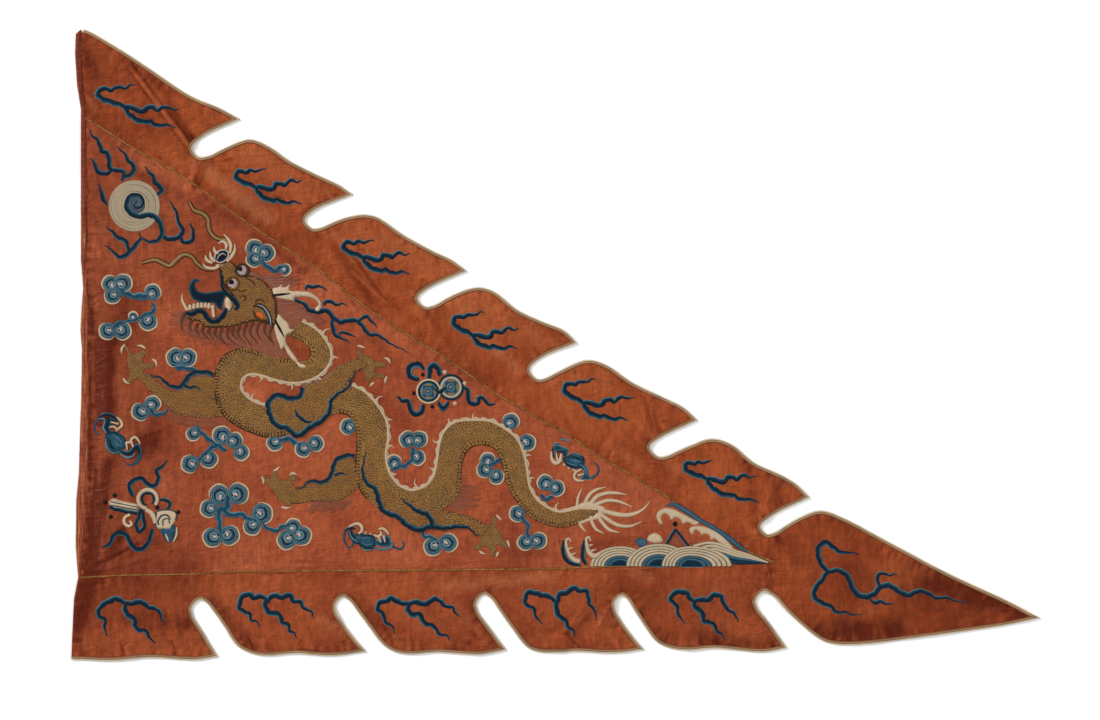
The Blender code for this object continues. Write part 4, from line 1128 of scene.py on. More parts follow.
# Indigo flames lick from the legs and curl along their edges, and float free behind the head. They are
# the same floss as the borders' flames, padded so that they stand over the scales.
LEG_FLAMES = [
    # height of the base in mm, widths, points in squares
    (0.9, [4.6, 5, 5, 4.4, 3, 0.6], [(213.3, 374.8), (208, 372.6), (201.8, 372.3), (196, 372.6),
        (190.4, 374.8), (187, 379), (183.5, 384), (180, 387), (174.3, 387.4), (168, 384.6), (160.5, 378),
        (153, 375.6), (149, 374.8)]),
    (1.4, [0.6, 2.8, 3.6], [(201.8, 390.3), (195, 386.6), (190, 387.6), (184.6, 386.3)]),
    (2, [5, 5.2, 5.6, 5.6, 5.6, 5.4, 4.6, 2.6, 0.6], [(302.4, 387.4), (302, 393.4), (299, 397),
        (294.4, 398.6), (287, 398), (279, 395), (272.6, 397.6), (268.9, 402.5), (268.9, 410), (271, 416),
        (275, 423.5), (280, 426.4), (286.7, 427.4), (291, 431), (296, 434.8), (301, 434.6), (305.9, 430),
        (313, 425.4), (321, 421), (328.8, 412.5), (330, 407), (331.4, 399.6), (338, 393.6), (347, 388),
        (352.6, 377), (355, 370)]),
    (2.2, [0.8, 3.4, 4.4, 3.6, 1.2], [(294.4, 409.5), (297, 413.5), (300.8, 418), (306, 421), (312.4, 422)]),
    (0.9, [4.4, 4.8, 4.8, 4.4, 2.4, 0.6], [(354.5, 455.8), (350, 455.4), (342.9, 456.6), (336, 461),
        (333.4, 468), (331.3, 475.6), (328, 479), (323, 482.3), (317, 481.6), (311.4, 480.6), (307, 483),
        (303, 486.6), (296.5, 488)]),
    (1.3, [0.6, 2.4, 2.6], [(347.9, 474), (340, 473.6), (334.6, 475)]),
    (1.9, [0.6, 3, 5, 5.6, 5.6, 5.6, 5, 4, 0.8], [(366, 451.6), (364, 461), (362.8, 469.8), (366, 481.5),
        (376, 489.7), (379.4, 501.3), (384.4, 511.3), (397.6, 516.3), (409.2, 526.2), (419.2, 529.5),
        (430.8, 526.2), (442.4, 527.9), (459, 526.2), (469, 527.9), (477.2, 536.2)]),
    (2.2, [0.8, 3.4, 5, 6, 5], [(401, 498), (409.2, 504.7), (419.2, 511.3), (427, 514), (431.6, 520),
        (432.4, 526)]),
    (0.3, [3, 4.6, 5.4, 5, 5, 4.6, 4, 3, 1.6, 0.6], [(294.7, 300), (303.3, 303.4), (309.9, 309.9),
        (318.5, 312), (326, 309.9), (332.6, 316.4), (340, 321.8), (350, 320), (359, 322), (364, 328),
        (369, 334), (376, 334.6), (383, 338), (391, 344), (400, 348), (409, 353)]),
    (0.4, [3.6, 4.4, 2.4, 0.6], [(323.9, 305), (326, 301.4), (330, 301.2), (336, 304.6), (341, 303.4),
        (348, 306)]),
    (0.4, [3.2, 4.4, 4.2, 2.4, 0.6], [(332.6, 318), (332.6, 325), (334.8, 333.7), (341, 338), (346, 340),
        (351, 343.4)]),
    (0.4, [2.6, 4, 3, 0.8], [(305.5, 289.3), (308, 285.4), (313, 287.6), (319, 285.6), (327, 290.4)]),
    (0.4, [2.8, 4, 3, 0.8], [(358, 323), (361, 318.4), (367, 316.6), (371, 320.4), (377, 327)]),
    (0.4, [1.2, 3.4, 2.6, 0.6], [(339, 335), (342, 331.6), (347, 333.6), (356, 336.4)]),
]
sew("leg_flames", [band(points, widths, base=base, knobs=0.12) for base, widths, points in LEG_FLAMES],
    indigo_floss)

# The mane, beard and tufts are mauve floss laid in separate long stitches, so the satin shows between
# them where they have worn away.
mauve_floss = stitched("mauve_silk_floss", ("#6A3222", "#80462F"), mottle=0.25)
MANE_GROUND = [
    [(276, 298), (284, 299), (292, 303), (299, 303), (306, 309), (314, 314), (321, 317), (328, 322),
     (318, 326), (308, 324), (301, 326), (308, 332), (318, 337), (326, 347), (318, 345), (308, 339),
     (297, 335), (291, 331), (284, 322), (277, 312)],
    [(186, 325), (200, 331), (215, 331), (235, 329), (255, 323), (268, 322), (276, 326), (280, 340),
     (287, 352), (293, 360), (297, 367), (286, 363), (276, 359), (262, 357), (250, 353), (240, 347),
     (228, 345), (214, 341), (200, 339), (190, 336)],
    [(168, 414), (180, 417.5), (200, 420), (216, 421), (222, 425), (212, 430), (196, 428), (180, 425),
     (169, 419)],
]
TUFTS = [
    # number of hairs, bend, line of their roots, line of their tips, in squares
    (26, 0.10, [(277, 300), (278, 312), (284, 322), (292, 332)], [(300, 300), (318, 312), (331, 324),
        (324, 349)]),
    (18, -0.06, [(262, 276), (272, 287)], [(296, 270), (304, 285)]),
    (12, 0.04, [(246, 273), (252, 278)], [(258, 272), (266, 280)]),
    (30, -0.16, [(226, 333), (262, 328), (279, 334)], [(232, 353), (272, 364), (303, 374)]),
    (18, 0.12, [(186, 322), (204, 330), (222, 332)], [(176, 333), (200, 345), (222, 350)]),
    (9, 0.08, [(190, 312), (187, 322)], [(169, 308), (168, 326)]),
    (16, 0.05, [(166, 412), (222, 418)], [(176, 422), (228, 430)]),
    (15, 0.04, [(316, 500), (352, 500)], [(304, 516), (340, 512)]),
    (18, 0.03, [(440, 484), (452, 512)], [(484, 486), (480, 508)]),
    (7, 0.03, [(434, 487), (436, 492)], [(450, 485), (452, 492)]),
]
HOOKS = [
    # the beard's darker hooks: root and tip in squares
    (184, 315, 183, 329), (191, 322, 192, 330), (197, 325, 200, 334), (203, 327, 209, 337),
    (209, 329, 214, 336), (215, 330, 221, 338), (221, 330, 229, 345), (228, 328, 238, 344),
    (233, 327, 241, 340), (239, 326, 246, 342), (246, 324, 252, 344), (252, 323, 258, 342),
    (259, 323, 262, 339), (266, 322, 272, 340), (272, 326, 275, 344),
]


def hairs(count, bend, roots, tips, width=0.75):
    """Single long stitches from one line to another, each slightly bent."""
    starts, ends = (line_through(line, 0.5) for line in (roots, tips))
    made = []
    for i in range(count):
        share = i / (count - 1)
        start = starts[round(share * (len(starts) - 1))]
        span = (ends[round(share * (len(ends) - 1))] - start) * (0.72 + 0.28 * math.sin(2.4 * i) ** 2)
        side = np.array([span[1], -span[0]]) * bend * (1 + 0.4 * math.sin(1.7 * i))
        made.append(band([start, start + span * 0.5 + side, start + span], [width, width, 0.3],
                         rise=0.25, base=0.5, step=3.5))
    return made


sew("mane_ground", [patch(closed(outline), 0.15, 0.25, 4.0, turn=20.0) for outline in MANE_GROUND],
    mauve_floss)
sew("mane_hairs", [hair for tuft in TUFTS for hair in hairs(*tuft)],
    stitched("faded_mauve_floss", ("#694034", "#8C5F4E"), mottle=0.3))
parts = []
for x1, y1, x2, y2 in HOOKS:
    reach = (y2 - y1) * 0.3
    points = [(x1 + 1, y1 - 2), (x1 + (x2 - x1) * 0.2 - 0.5 * reach, (y1 + y2) / 2), (x2, y2 + 2)]
    parts.append(band(points, [3.4, 2.8, 1.4, 0.4], rise=0.5, base=0.7))
sew("beard", parts, stitched("brown_silk_floss", ("#45261A", "#5E3426")))

# The head is gold over thick padding, with two long whiskers of gold cord. Its eyes, lips, teeth, brows,
# nose and ears are silk floss.
HEAD = [
    (219, 266), (223, 263.6), (228, 262.5), (232, 263), (236, 266), (238, 271), (240, 275), (246, 275.6),
    (253.5, 276.5), (262.5, 280.6), (270.8, 289.3), (275.2, 300), (276.4, 312), (275, 325), (270, 322.6),
    (265.4, 320.7), (256.7, 320.7), (247, 322), (235, 325.5), (224, 327), (212, 327.4), (205.8, 326.5),
    (199, 321), (191, 319.5), (184.5, 315.5), (187, 313), (192, 313), (198, 312.4), (204, 312), (207, 316),
    (210, 320), (214, 322), (218, 322), (222, 319), (225, 316), (229, 311), (234, 306), (236, 300),
    (231, 293), (226, 287), (223, 279), (220.5, 271),
]
EYES = [
    # centre, radius, pupil's radius, in squares
    ((242.4, 270.4), 6, 2.9), ((233.2, 283.6), 6.2, 3.1),
]
BLUE_LIP = [
    (200.4, 279.5), (195, 278.4), (190.6, 281.7), (189, 288.2), (191.7, 298), (198.2, 301.7), (205.8, 303.4),
    (213.4, 303.4), (216.6, 306.6), (222, 312), (224.2, 301.2), (226.4, 293.6), (222, 290.4), (213.4, 291.4),
    (205.8, 292.5), (198.2, 290.4), (195.4, 286), (196.6, 282.4), (199.8, 282),
]
NOSE = [
    (214.6, 259), (216, 253.6), (220, 250.6), (225, 250), (228.4, 252.4), (228, 257), (224.6, 261),
    (219, 262.6),
]
NOSE_CURLS = [
    [(223.6, 234), (228.6, 239.6), (231, 246), (230, 253)],
    [(218.4, 243.6), (223, 241.4), (226.6, 244.6), (226, 249)], [(205.6, 255), (207, 260), (212.6, 263)],
    [(202.4, 263.4), (206, 267), (212.6, 268.6), (219.6, 266.6)], [(210.4, 251.4), (211, 257), (215, 261.6)],
    [(214.2, 246.6), (215, 251.4), (218.6, 254)], [(234.8, 243.6), (235, 250), (232, 256), (227, 261.6)],
    [(229.6, 262), (224, 265.6), (216, 265.6)],
]
TEETH = [
    # root and tip in squares
    (190, 309.7, 190.6, 304.6), (193.8, 308.8, 194.6, 303.6), (197.8, 308, 198.4, 302.8),
    (201.6, 307.6, 202.2, 302.6), (205.4, 307.4, 206, 302.8), (208.8, 308.4, 209.6, 303.2),
    (212.6, 305, 214, 317),
]
FRONT_TOOTH = [(183, 293.6), (182.3, 299), (185, 305.6), (188, 310.6)]
CHEEK = [(228.3, 296), (231.6, 300), (232.4, 306), (230, 311.6), (226.4, 310), (224.6, 303), (225.4, 298)]
DARK_LINES = [
    # widths, points in squares: the bridge of the nose with the mouth's corner, and the lower lip
    ([2.2, 2.6, 3, 3.6, 5, 5.6, 3.4], [(221, 270.8), (221.6, 278), (222, 285), (224.2, 290.4), (230.7, 297),
        (236, 302), (238.3, 306.6), (235, 309.9)]),
    ([4, 5.4, 5.2, 5, 5.2, 5, 3.4], [(186.3, 312.4), (191.7, 314.2), (198.2, 311), (203.6, 312),
        (208, 318.5), (213.4, 321.8), (218.8, 319.6), (224.2, 313.1), (226.4, 308)]),
]
WRINKLES = [
    [(246, 278), (252, 281), (256, 286)], [(240, 297), (243, 295.6), (246, 298), (244, 301)],
    [(238, 290), (242, 291.6), (247, 289.6)],
]
WHISKERS = [
    [(189.5, 201.4), (193.9, 210), (202.5, 213.4), (208, 218.8), (209, 228.5), (213.4, 236), (219.9, 239.4),
     (225.3, 239.4), (228.5, 246)],
    [(142, 263), (156, 260), (163, 263), (170, 265.8), (176.5, 260), (184, 254.6), (191.7, 256.7),
     (197, 263.2), (204.7, 268.7), (213.4, 269.7)],
]
sew("head_ground", [patch(closed(HEAD), 1.3, 0.8, 9.0, turn=30.0)], gold_ground)
sew("head_scales", [scales_inside(closed(HEAD), 150, (0.75, 1.35, 9.0), 2.3)], warm_scale)
parts = [band(closed(HEAD), [0.9], rise=0.35, base=0.95, step=2.0)]
parts += [band(line, [3.6, 5.4, 5.4, 5.4, 5, 4], rise=0.4, base=0.3) for line in WHISKERS]
parts += [band(line, [0.8, 1.8, 0.8], rise=0.3, base=2.7) for line in WRINKLES]
sew("head_outline", parts, umber_floss)
gold_cord = stitched("gold_cord", ("#5A3E1E", "#8E6C38"), thread_mm=2.4, roughness=0.45, metallic=0.25)
sew("whiskers", [band(line, [1.8, 3.8, 3.8, 3.8, 3.2, 2.2], rise=0.6, base=0.6) for line in WHISKERS],
    gold_cord)
LIP_BLUE = [
    (0, "#0A1E28"), (0.1, "#1C4A56"), (0.2, "#0D2A38"), (0.36, "#081A28"), (0.8, "#06121C"), (1, "#1C4852"),
]
parts = [patch(closed(BLUE_LIP, 1.4), 0.8, 1.0, 4.0, turn=0.0),
         patch(closed(NOSE), 0.7, 0.9, 3.0, turn=60.0)]
parts += bands(DARK_LINES, rise=0.7, base=2.1)
sew("head_blues", parts, stitched("dark_blue_floss", LIP_BLUE, thread_mm=2.0, mottle=0.3))
parts = [band(curl, [0.8, 3.2, 3.8, 2.4], rise=0.5, base=0.7) for curl in NOSE_CURLS]
parts += [band([(x1, y1), (x2, y2)], [4.0, 3.2], rise=0.5, base=1.4, step=1.5) for x1, y1, x2, y2 in TEETH]
parts.append(band(FRONT_TOOTH, [0.6, 2.6, 3.2, 3.0], rise=0.5, base=0.5))
parts.append(patch(closed(CHEEK), 0.4, 2.2, 2.0))
sew("teeth_and_curls", parts, cream_floss)
EAR = [(253.4, 306.6), (257.4, 305), (263, 307), (267.4, 312.4), (270.2, 319.4), (271, 326)]
EAR_FOLDS = [
    # the fold inside the ear and the crease over it: widths, points in squares
    ([1.2, 2.2, 2.4, 1.2], [(253.6, 310.6), (255.4, 316), (260, 320), (267, 322)]),
    ([0.8, 2, 1.8, 0.8], [(255.2, 302.8), (258.4, 299.4), (262, 299.8), (264.8, 303)]),
]
EAR_HOLLOW = [
    (255, 312.4), (258.6, 310.8), (262.6, 312.2), (265.4, 316), (266.4, 320), (261, 319.4), (256.8, 316.6),
]
EAR_BLUE = [(0, "#4E6E80"), (0.4, "#9CA8AE"), (0.55, "#2C4458"), (1, "#16283A")]
# the broad umber band under the ear is its painted shadow; the thin umber lines mark its fold and crease
sew("ear_shadow", [band(EAR, [1.6, 4.6, 5.4, 5.2, 4.8, 1.4], rise=0.4, base=2.7),
                   *bands(EAR_FOLDS, rise=0.3, base=2.8)], umber_floss)
sew("ear", [band(EAR[1:], [0.8, 2, 2.4, 2.4, 1.2], rise=0.4, base=3.1)], stitched("ear_floss", EAR_BLUE))
sew("ear_hollow", [patch(closed(EAR_HOLLOW, 1.3), 0.4, 2.6, 2.0)],
    stitched("orange_floss", [(0.0, "#A04420"), (0.5, "#C4541E")]))
EYE_WHITE = [(0, "#4E3428"), (0.2, "#7A625E"), (0.36, "#A89C98"), (0.5, "#8A7A78")]
sew("eye_whites", [patch(disc(centre, radius, 12), 0.6, 2.1, 3.4) for centre, radius, _ in EYES],
    stitched("grey_pink_floss", EYE_WHITE, thread_mm=2.2, mottle=0.3))
black_floss = stitched("black_silk_floss", [(0.0, "#0E0B0B"), (0.5, "#191413")])
sew("pupils", [patch(disc((x - 1.7, y - 1.5), pupil + 0.7, 10, 0.9), 0.2, 3.0, 1.0, gap=1.1)
               for (x, y), _, pupil in EYES], black_floss)
sew("eye_rings", [ring(centre, radius + 0.4, 1.5, rise=0.5, base=2.2, step=1.2)
                  for centre, radius, _ in EYES], umber_floss)
pink_white = stitched("pale_pink_floss", ("#A08A80", "#BFA89C"))
NOSE_LIGHT = [(217.4, 259.4), (219.4, 255.6), (223.6, 253.6), (226, 255.4)]
sew("eye_lights", [band(NOSE_LIGHT, [0.6, 1.2, 1.2, 0.6], base=1.2),
                   band(closed(NOSE, 1.2), [1.2], rise=0.4, base=1.0, step=1.2)], pink_white)

# Two branched antlers of cream floss grow back from the head. They are padded, and each has a dark
# groove at its root.
ANTLERS = [
    [(271.9, 288.2), (279.5, 286), (281.7, 283.5), (283, 286.4), (287, 286), (289.3, 281.8), (290.2, 286),
     (290, 290.2), (300, 290.9), (309.9, 292), (317.4, 296.9), (321.8, 303.4), (321.4, 309), (318, 312),
     (314.8, 311), (315.3, 307.7), (318.5, 304.4), (315.3, 300.1), (308.8, 297.4), (300, 296.9),
     (294.7, 297.9), (295.2, 301.9), (291.4, 300.6), (287, 300.1), (274, 296.2)],
    [(278.4, 312), (283.8, 318.5), (289.3, 324), (290.3, 328.3), (296.6, 328), (294.7, 331), (290.3, 333.7),
     (287, 335.4), (286.5, 342.4), (290.3, 348.9), (295.8, 356.5), (300, 362.4), (306.8, 364.4), (307, 368),
     (300.5, 368.6), (294.7, 362.6), (288.2, 355), (283.8, 347.4), (282, 351.6), (278.4, 343.5),
     (275.2, 333.7), (274, 327.2), (275.7, 320.7)],
]
GROOVES = [[(272.5, 295.4), (281, 294.6), (290.6, 293.6)], [(275.6, 320.6), (279, 327), (284.4, 337)]]
sew("antlers", [patch(closed(outline, 1.2), 0.7, 1.6, 2.2, turn=angle, gap=1.9)
                for outline, angle in zip(ANTLERS, (0.0, 60.0))], cream_floss)
sew("antler_grooves", [band(line, [2.0, 2.8, 1.0], rise=0.2, base=2.3, step=1.2) for line in GROOVES],
    black_floss)

# The tail ends in a fan of long cream rays. Each ray is a bundle of floss that thins to a point, and
# two padded leaves cover their roots.
TAIL_RAYS = [
    # widths, points in squares
    ([3.6, 2.8, 0.7], [(577, 507), (578, 498), (582, 488)]),
    ([4.4, 4.2, 3.2, 0.7], [(584, 505), (590, 494), (597, 489.4), (606, 487)]),
    ([4.8, 4.4, 4, 3.4, 0.7], [(589, 506), (597, 496.4), (607, 493), (617, 493), (627, 494.8)]),
    ([4.6, 4, 3.6, 2.8, 0.7], [(594, 505), (607, 500.5), (616, 500.8), (624, 503.2), (632, 507.2)]),
    ([5, 5, 5.2, 4.8, 4.2, 2.6, 0.7], [(594, 509), (606, 511.6), (616, 514), (627, 515), (636, 513),
        (644, 508.4), (650, 501)]),
    ([4.6, 4.4, 4, 3, 0.7], [(598, 512), (608, 519.6), (618, 525), (630, 526), (642, 521.4)]),
    ([4.4, 4.2, 3.6, 0.7], [(596, 513), (602, 522), (609, 529.4), (620, 532.6)]),
    ([4.2, 3.8, 3.2, 0.7], [(590, 515), (592, 522), (596, 529), (604, 533.4)]),
    ([3.4, 3.2, 0.7], [(579, 520.6), (581, 526), (586, 531.6)]),
]
TAIL_BASES = [
    [(560, 509.5), (566, 508), (574, 506), (582, 502.6), (590, 501), (598, 504), (606, 508.6), (604, 512.6),
     (597, 511.4), (590, 509), (580, 508.8), (570, 511)],
    [(577, 521.6), (585, 518.4), (593, 515), (600, 512.5), (606, 516), (600, 518.6), (590, 521),
     (582, 523.6)],
]
parts = bands(TAIL_RAYS, rise=0.6, base=0.4)
parts += [patch(closed(outline, 1.3), 0.6, 0.6, 2.0, turn=0.0, gap=1.9) for outline in TAIL_BASES]
sew("tail_fan", parts, cream_floss)

# Small clouds drift round the dragon. Each is a bunch of curled heads with a pale pink centre, rings of
# indigo and teal floss and a cream edge outside, tied by indigo stems.
CLOUDS = [
    # stems as widths and points, and heads as x, y, the way they face in degrees and size, in squares
    ([([6, 8, 7, 6, 9, 8], [(120, 288), (124, 292), (130, 295.4), (135, 296.4), (140.5, 296.4), (147, 297)]),
        ([3, 5, 4.6, 4, 4.4, 4, 5, 6.6, 5], [(152, 303.6), (155.4, 308), (151.2, 312.4), (144.6, 315.4),
        (138.5, 318.4), (131, 321), (123, 322.4), (115.5, 325.8), (110, 330)])], [(113, 285.1, 145, 10),
        (120.9, 284.8, 35, 11), (114.5, 294, 232, 9.6), (152, 294.4, 60, 9.8), (147.7, 319.5, -72, 10.5),
        (109.9, 329.7, 215, 10), (120.6, 329.4, -35, 10.6), (133.6, 317.6, 95, 5.5)]),
    ([([4, 6, 6, 4, 1.4], [(172, 365), (181, 368), (190.4, 368.4), (197.2, 371), (203, 373)])],
        [(178.3, 358.1, 165, 11), (185.8, 358.1, 10, 10.5)]),
    ([([4.6, 5.4, 4.6, 4, 2.4], [(150.2, 409.2), (155.9, 415), (161.7, 413.8), (165, 412), (168, 409.5)])],
        [(143.3, 410.9, 200, 10.5), (151.3, 405.2, 45, 9.5)]),
    ([([3, 4.6, 5.6, 6, 5], [(197.4, 425.6), (201, 432), (206.4, 437), (216.8, 444), (226, 450.6)]),
        ([6, 5.6, 4, 4], [(217.8, 445), (209.9, 449), (204, 455), (198, 460)])], [(195, 432.2, 230, 8.5),
        (223.7, 437.3, 130, 11), (232.3, 441.4, 20, 10), (239.7, 451.1, -40, 9.5), (207.6, 457.4, -50, 10.5),
        (192.7, 463.2, 195, 10.5)]),
    ([([4.4, 6.4, 6, 4.4], [(279, 441), (287, 438.6), (294, 441.6), (302, 446)])], [(276, 441, 240, 9.5),
        (304.8, 447.5, 230, 9.5), (313.9, 443.3, 0, 9.5)]),
    ([], [(350.5, 426.8, 175, 9.5)]),
    ([([9, 9, 8, 7, 6, 5], [(228, 496), (227, 506), (219, 512), (219.6, 520), (220.4, 528), (220, 534)]),
        ([8, 6, 5.6, 6, 7], [(223, 509), (232, 515.6), (240, 513.6), (249, 519), (256, 521)]),
        ([5, 4.6, 4.6, 5.4, 5], [(262, 523), (270, 529.6), (277, 530), (284, 525.6), (291, 524.6)])],
        [(211.7, 507.5, 200, 10.5), (221.3, 496.7, 130, 12), (235.7, 494.8, 25, 12.5),
        (259.6, 513.5, 0, 12.5), (253.2, 523.9, 250, 10.5), (214.9, 535.8, 215, 11.5),
        (226.9, 534.2, -20, 12), (292.3, 528.6, 60, 9.5), (288.3, 537.4, 240, 11.5), (298.7, 535, -10, 12)]),
    ([([6, 5, 5, 4.6, 5, 3], [(413, 448), (413, 454), (411.6, 460), (406.4, 465.4), (399.6, 466.6),
        (391.6, 470.4)])], [(416.2, 456.3, -35, 9), (394.9, 464.4, 105, 9), (409.8, 440.8, 145, 10),
        (417.3, 440.8, 35, 10)]),
    ([], [(509.7, 423.6, 60, 10)]),
    ([], [(524.9, 442, -10, 10)]),
    ([([4.6, 5, 5.6], [(489, 466), (494, 462.6), (500, 460.4)])], [(488.5, 462, 110, 9),
        (486.8, 469, 195, 9.5), (495.5, 474.8, -60, 9)]),
    ([([4, 5, 4.4], [(540.7, 495), (546, 499), (552.6, 497)])], [(546.5, 484.5, 125, 9.5),
        (554.5, 487.9, -5, 9.5)]),
    ([([4, 5, 4.4, 4, 4], [(520.6, 516), (525, 521), (528, 526), (527.6, 533), (528, 538)])],
        [(519.5, 513.2, 190, 9.5), (527.4, 541, 215, 9.5), (536, 541, 10, 10)]),
    ([([4, 5.6, 6, 6, 5.6, 5], [(262, 260), (265.4, 264.6), (270, 268.6), (275.5, 270.4), (280.4, 267.6),
        (284, 267)])], [(256.4, 250.4, 130, 10.5), (263.7, 253, 0, 10.5), (256.4, 258.4, 205, 9.5),
        (283.6, 269.6, -10, 7)]),
    ([([3, 5, 5, 4], [(421.6, 531.4), (425, 536.4), (430.4, 537.4), (436, 539)])], [(434.9, 544.5, 225, 11),
        (445.7, 542.8, 5, 11)]),
]
HEAD_SIZE = 0.94  # the share of its size that each head is drawn at, so that the edges stay apart
EDGE_SWAY, OUTER_SWAY, INNER_SWAY = 0.02, 0.04, 0.07
EDGE_SHOWN = 40  # degrees: a head has a cream edge where more than this much of it is free
CLOUD_BLUE = [
    (0, "#4E6E78"), (0.16, "#4A6C7A"), (0.3, "#1C4054"), (0.6, "#143246"), (0.8, "#365A6A"), (1, "#24424F"),
]
OUTER_CURL = [
    (0, "#0A2030"), (0.34, "#0E2836"), (0.5, "#50707A"), (0.64, "#10293A"), (0.84, "#56727A"),
    (1, "#203A44"),
]
INNER_CURL = [(0, "#1A3240"), (0.3, "#3A5864"), (0.55, "#66828A"), (0.8, "#2E4C58"), (1, "#10283A")]


def edge_of_head(heads, i):
    """The angles at which a head of a cloud has its cream edge: towards its front, clear of the others."""
    x, y, facing, size = heads[i]
    angles = facing + np.arange(-115, 116, 5)
    way = np.radians(facing)
    centre = np.array([x + 0.24 * size * math.cos(way), y - 0.24 * size * math.sin(way)])
    turned = np.radians(angles)
    points = centre + 0.93 * size * np.column_stack([np.cos(turned), -np.sin(turned)])
    clear = np.ones(len(angles), bool)
    for j, (other_x, other_y, other_facing, other_size) in enumerate(heads):
        if j != i:
            there = np.radians(other_facing)
            other = (other_x + 0.2 * other_size * math.cos(there),
                     other_y - 0.2 * other_size * math.sin(there))
            clear &= np.linalg.norm(points - other, axis=1) > 0.86 * other_size
    middle = len(angles) // 2
    first = middle - int(np.argmin(np.append(clear[middle::-1], False))) + 1
    last = middle + int(np.argmin(np.append(clear[middle:], False))) - 1
    return centre, angles[max(first, 0)], angles[min(last, len(angles) - 1)]


centres, inner_curls, outer_curls, edges, stem_bands = [], [], [], [], []
for stems, heads in CLOUDS:
    stem_bands += bands(stems, rise=0.6, base=0.25, knobs=0.2)
    heads = [(x, y, facing, HEAD_SIZE * size) for x, y, facing, size in heads]
    for i, (x, y, facing, size) in enumerate(heads):
        lift = 0.35 + 0.12 * (i % 3)
        way = np.array([math.cos(math.radians(facing)), -math.sin(math.radians(facing))]) * size
        eye = np.array([x, y])
        curl = arc(eye + 0.18 * way, 0.62 * size, facing + 160, 360, sway=OUTER_SWAY)
        outer_curls.append(band(curl, [0.46 * size], rise=0.3, base=lift))
        curl = arc(eye + 0.06 * way, 0.32 * size, facing + 180, 330, 12, INNER_SWAY)
        inner_curls.append(band(curl, [0.36 * size], rise=0.3, base=lift + 0.15, step=1.0))
        curl = arc(eye - 0.03 * way, 0.13 * size, facing - 60, 250, 8, INNER_SWAY)
        centres.append(band(curl, [2.6, 2.4, 1.8, 0.8], rise=0.35, base=lift + 0.35, step=0.9))
        centre, start, end = edge_of_head(heads, i)
        if end - start > EDGE_SHOWN:
            curl = arc(centre, 0.91 * size, start, end - start, sway=EDGE_SWAY)
            edges.append(band(curl, [0.3, 1.5, 2.0, 2.0, 1.5, 0.3], rise=0.4, base=0.45))
sew("cloud_stems", stem_bands, stitched("blue_silk_floss", CLOUD_BLUE, thread_mm=2.0, mottle=0.35))
sew("cloud_outer_curls", outer_curls, stitched("navy_and_teal_floss", OUTER_CURL, thread_mm=2.0, mottle=0.3))
sew("cloud_inner_curls", inner_curls, stitched("teal_silk_floss", INNER_CURL, thread_mm=2.0, mottle=0.35))
sew("cloud_edges", edges, cream_floss)
sew("cloud_centres", centres, pink_white)

# Three bats, a scroll tied with ribbon and a pair of coins are lucky signs between the clouds. They
# are small, and are worked in short lines of five colours, with dots for knots of thread.
BAT_BODIES = [
    [(106.6, 434), (110.6, 432.2), (115.4, 431.8), (119.8, 434), (124.4, 437.6), (126.2, 443),
     (124.8, 447.6), (119.8, 449.6), (118.6, 452.4), (113.4, 452.4), (109.4, 449.4), (107.4, 445),
     (106.6, 439.4)],
    [(353, 536.4), (358.6, 533.6), (365, 535), (371.4, 535.4), (374.2, 537.4), (375, 541), (374.2, 547.4),
     (371.4, 549), (366.8, 549.6), (362.4, 548.2), (359.4, 544), (354, 542.4)],
    [(563.2, 458.2), (568.6, 456.4), (572.4, 454), (577.8, 454), (583.2, 457.4), (584.2, 461), (583, 465),
     (580, 467.4), (574, 467.8), (569, 466.4), (565, 462.6)],
]
BAT_WINGS = [
    [(375, 538.2), (378.6, 540), (384, 535.4), (386.8, 534.4), (390, 536.4), (391.8, 541.8), (391.4, 545.4),
     (386, 547.4), (377.8, 546.4), (374.4, 543.6)],
    [(553.6, 443.6), (556.8, 441.8), (559.6, 443.6), (561.4, 446.4), (567.8, 448.2), (569, 452.8),
     (566.8, 456.4), (563.2, 453.6), (562.2, 451.8), (555, 451.4), (552.8, 448.2)],
    [(579, 464), (584.2, 463.6), (587.8, 468.2), (589.6, 475.4), (593.2, 478.6), (590.4, 480),
     (581.4, 479.6), (578.6, 478.2), (583.4, 474.4), (583.2, 471), (580, 468)],
]
BAT_NAVY_LINES = [
    # widths, points in squares
    ([1, 2.6, 3, 3.4, 1.6], [(98, 417.8), (103.4, 414.6), (109.8, 414.2), (114.4, 416.8), (118, 420.4)]),
    ([3, 4.8, 4.4, 3], [(109.8, 417), (109.2, 423), (107.8, 427.8), (110.6, 432.4)]),
    ([3.4, 1], [(112, 420), (116.2, 420.8)]),
    ([2.6, 1], [(111.2, 424.4), (115.6, 425.2)]),
    ([2, 4.4, 2.6], [(110.8, 439), (111.6, 445), (115.4, 448.4)]),
    ([2, 4, 4.6, 4.4, 4.2, 4.2, 4, 2.4], [(120.2, 450.4), (124.4, 452.4), (128.6, 453.2), (132, 451.4),
        (134.8, 447.8), (138, 446), (140.2, 450.4), (140.6, 454.6)]),
    ([2, 3.2, 2.8, 1], [(345.4, 530.4), (348.6, 528.2), (353.2, 527.6), (355.4, 529)]),
    ([2.4, 3, 2], [(351.4, 529.4), (352.6, 534), (356.4, 537.8)]),
    ([1.6, 3, 2], [(361.8, 544), (366, 547.2), (372.2, 547)]),
    ([1.6, 2.4, 1], [(553.2, 447.4), (552.8, 452.4), (554.4, 457.4)]),
    ([2.4, 0.8], [(556.8, 452.8), (558.2, 457.4)]),
    ([2, 3, 2.4], [(556.8, 451.4), (563.2, 451.4), (565.4, 456.4)]),
    ([1.4, 3.4, 1.6], [(571.4, 456.4), (576.8, 457.4), (582.6, 460)]),
    ([2, 3, 2], [(564, 459.6), (568, 463.6), (573, 465.4)]),
]
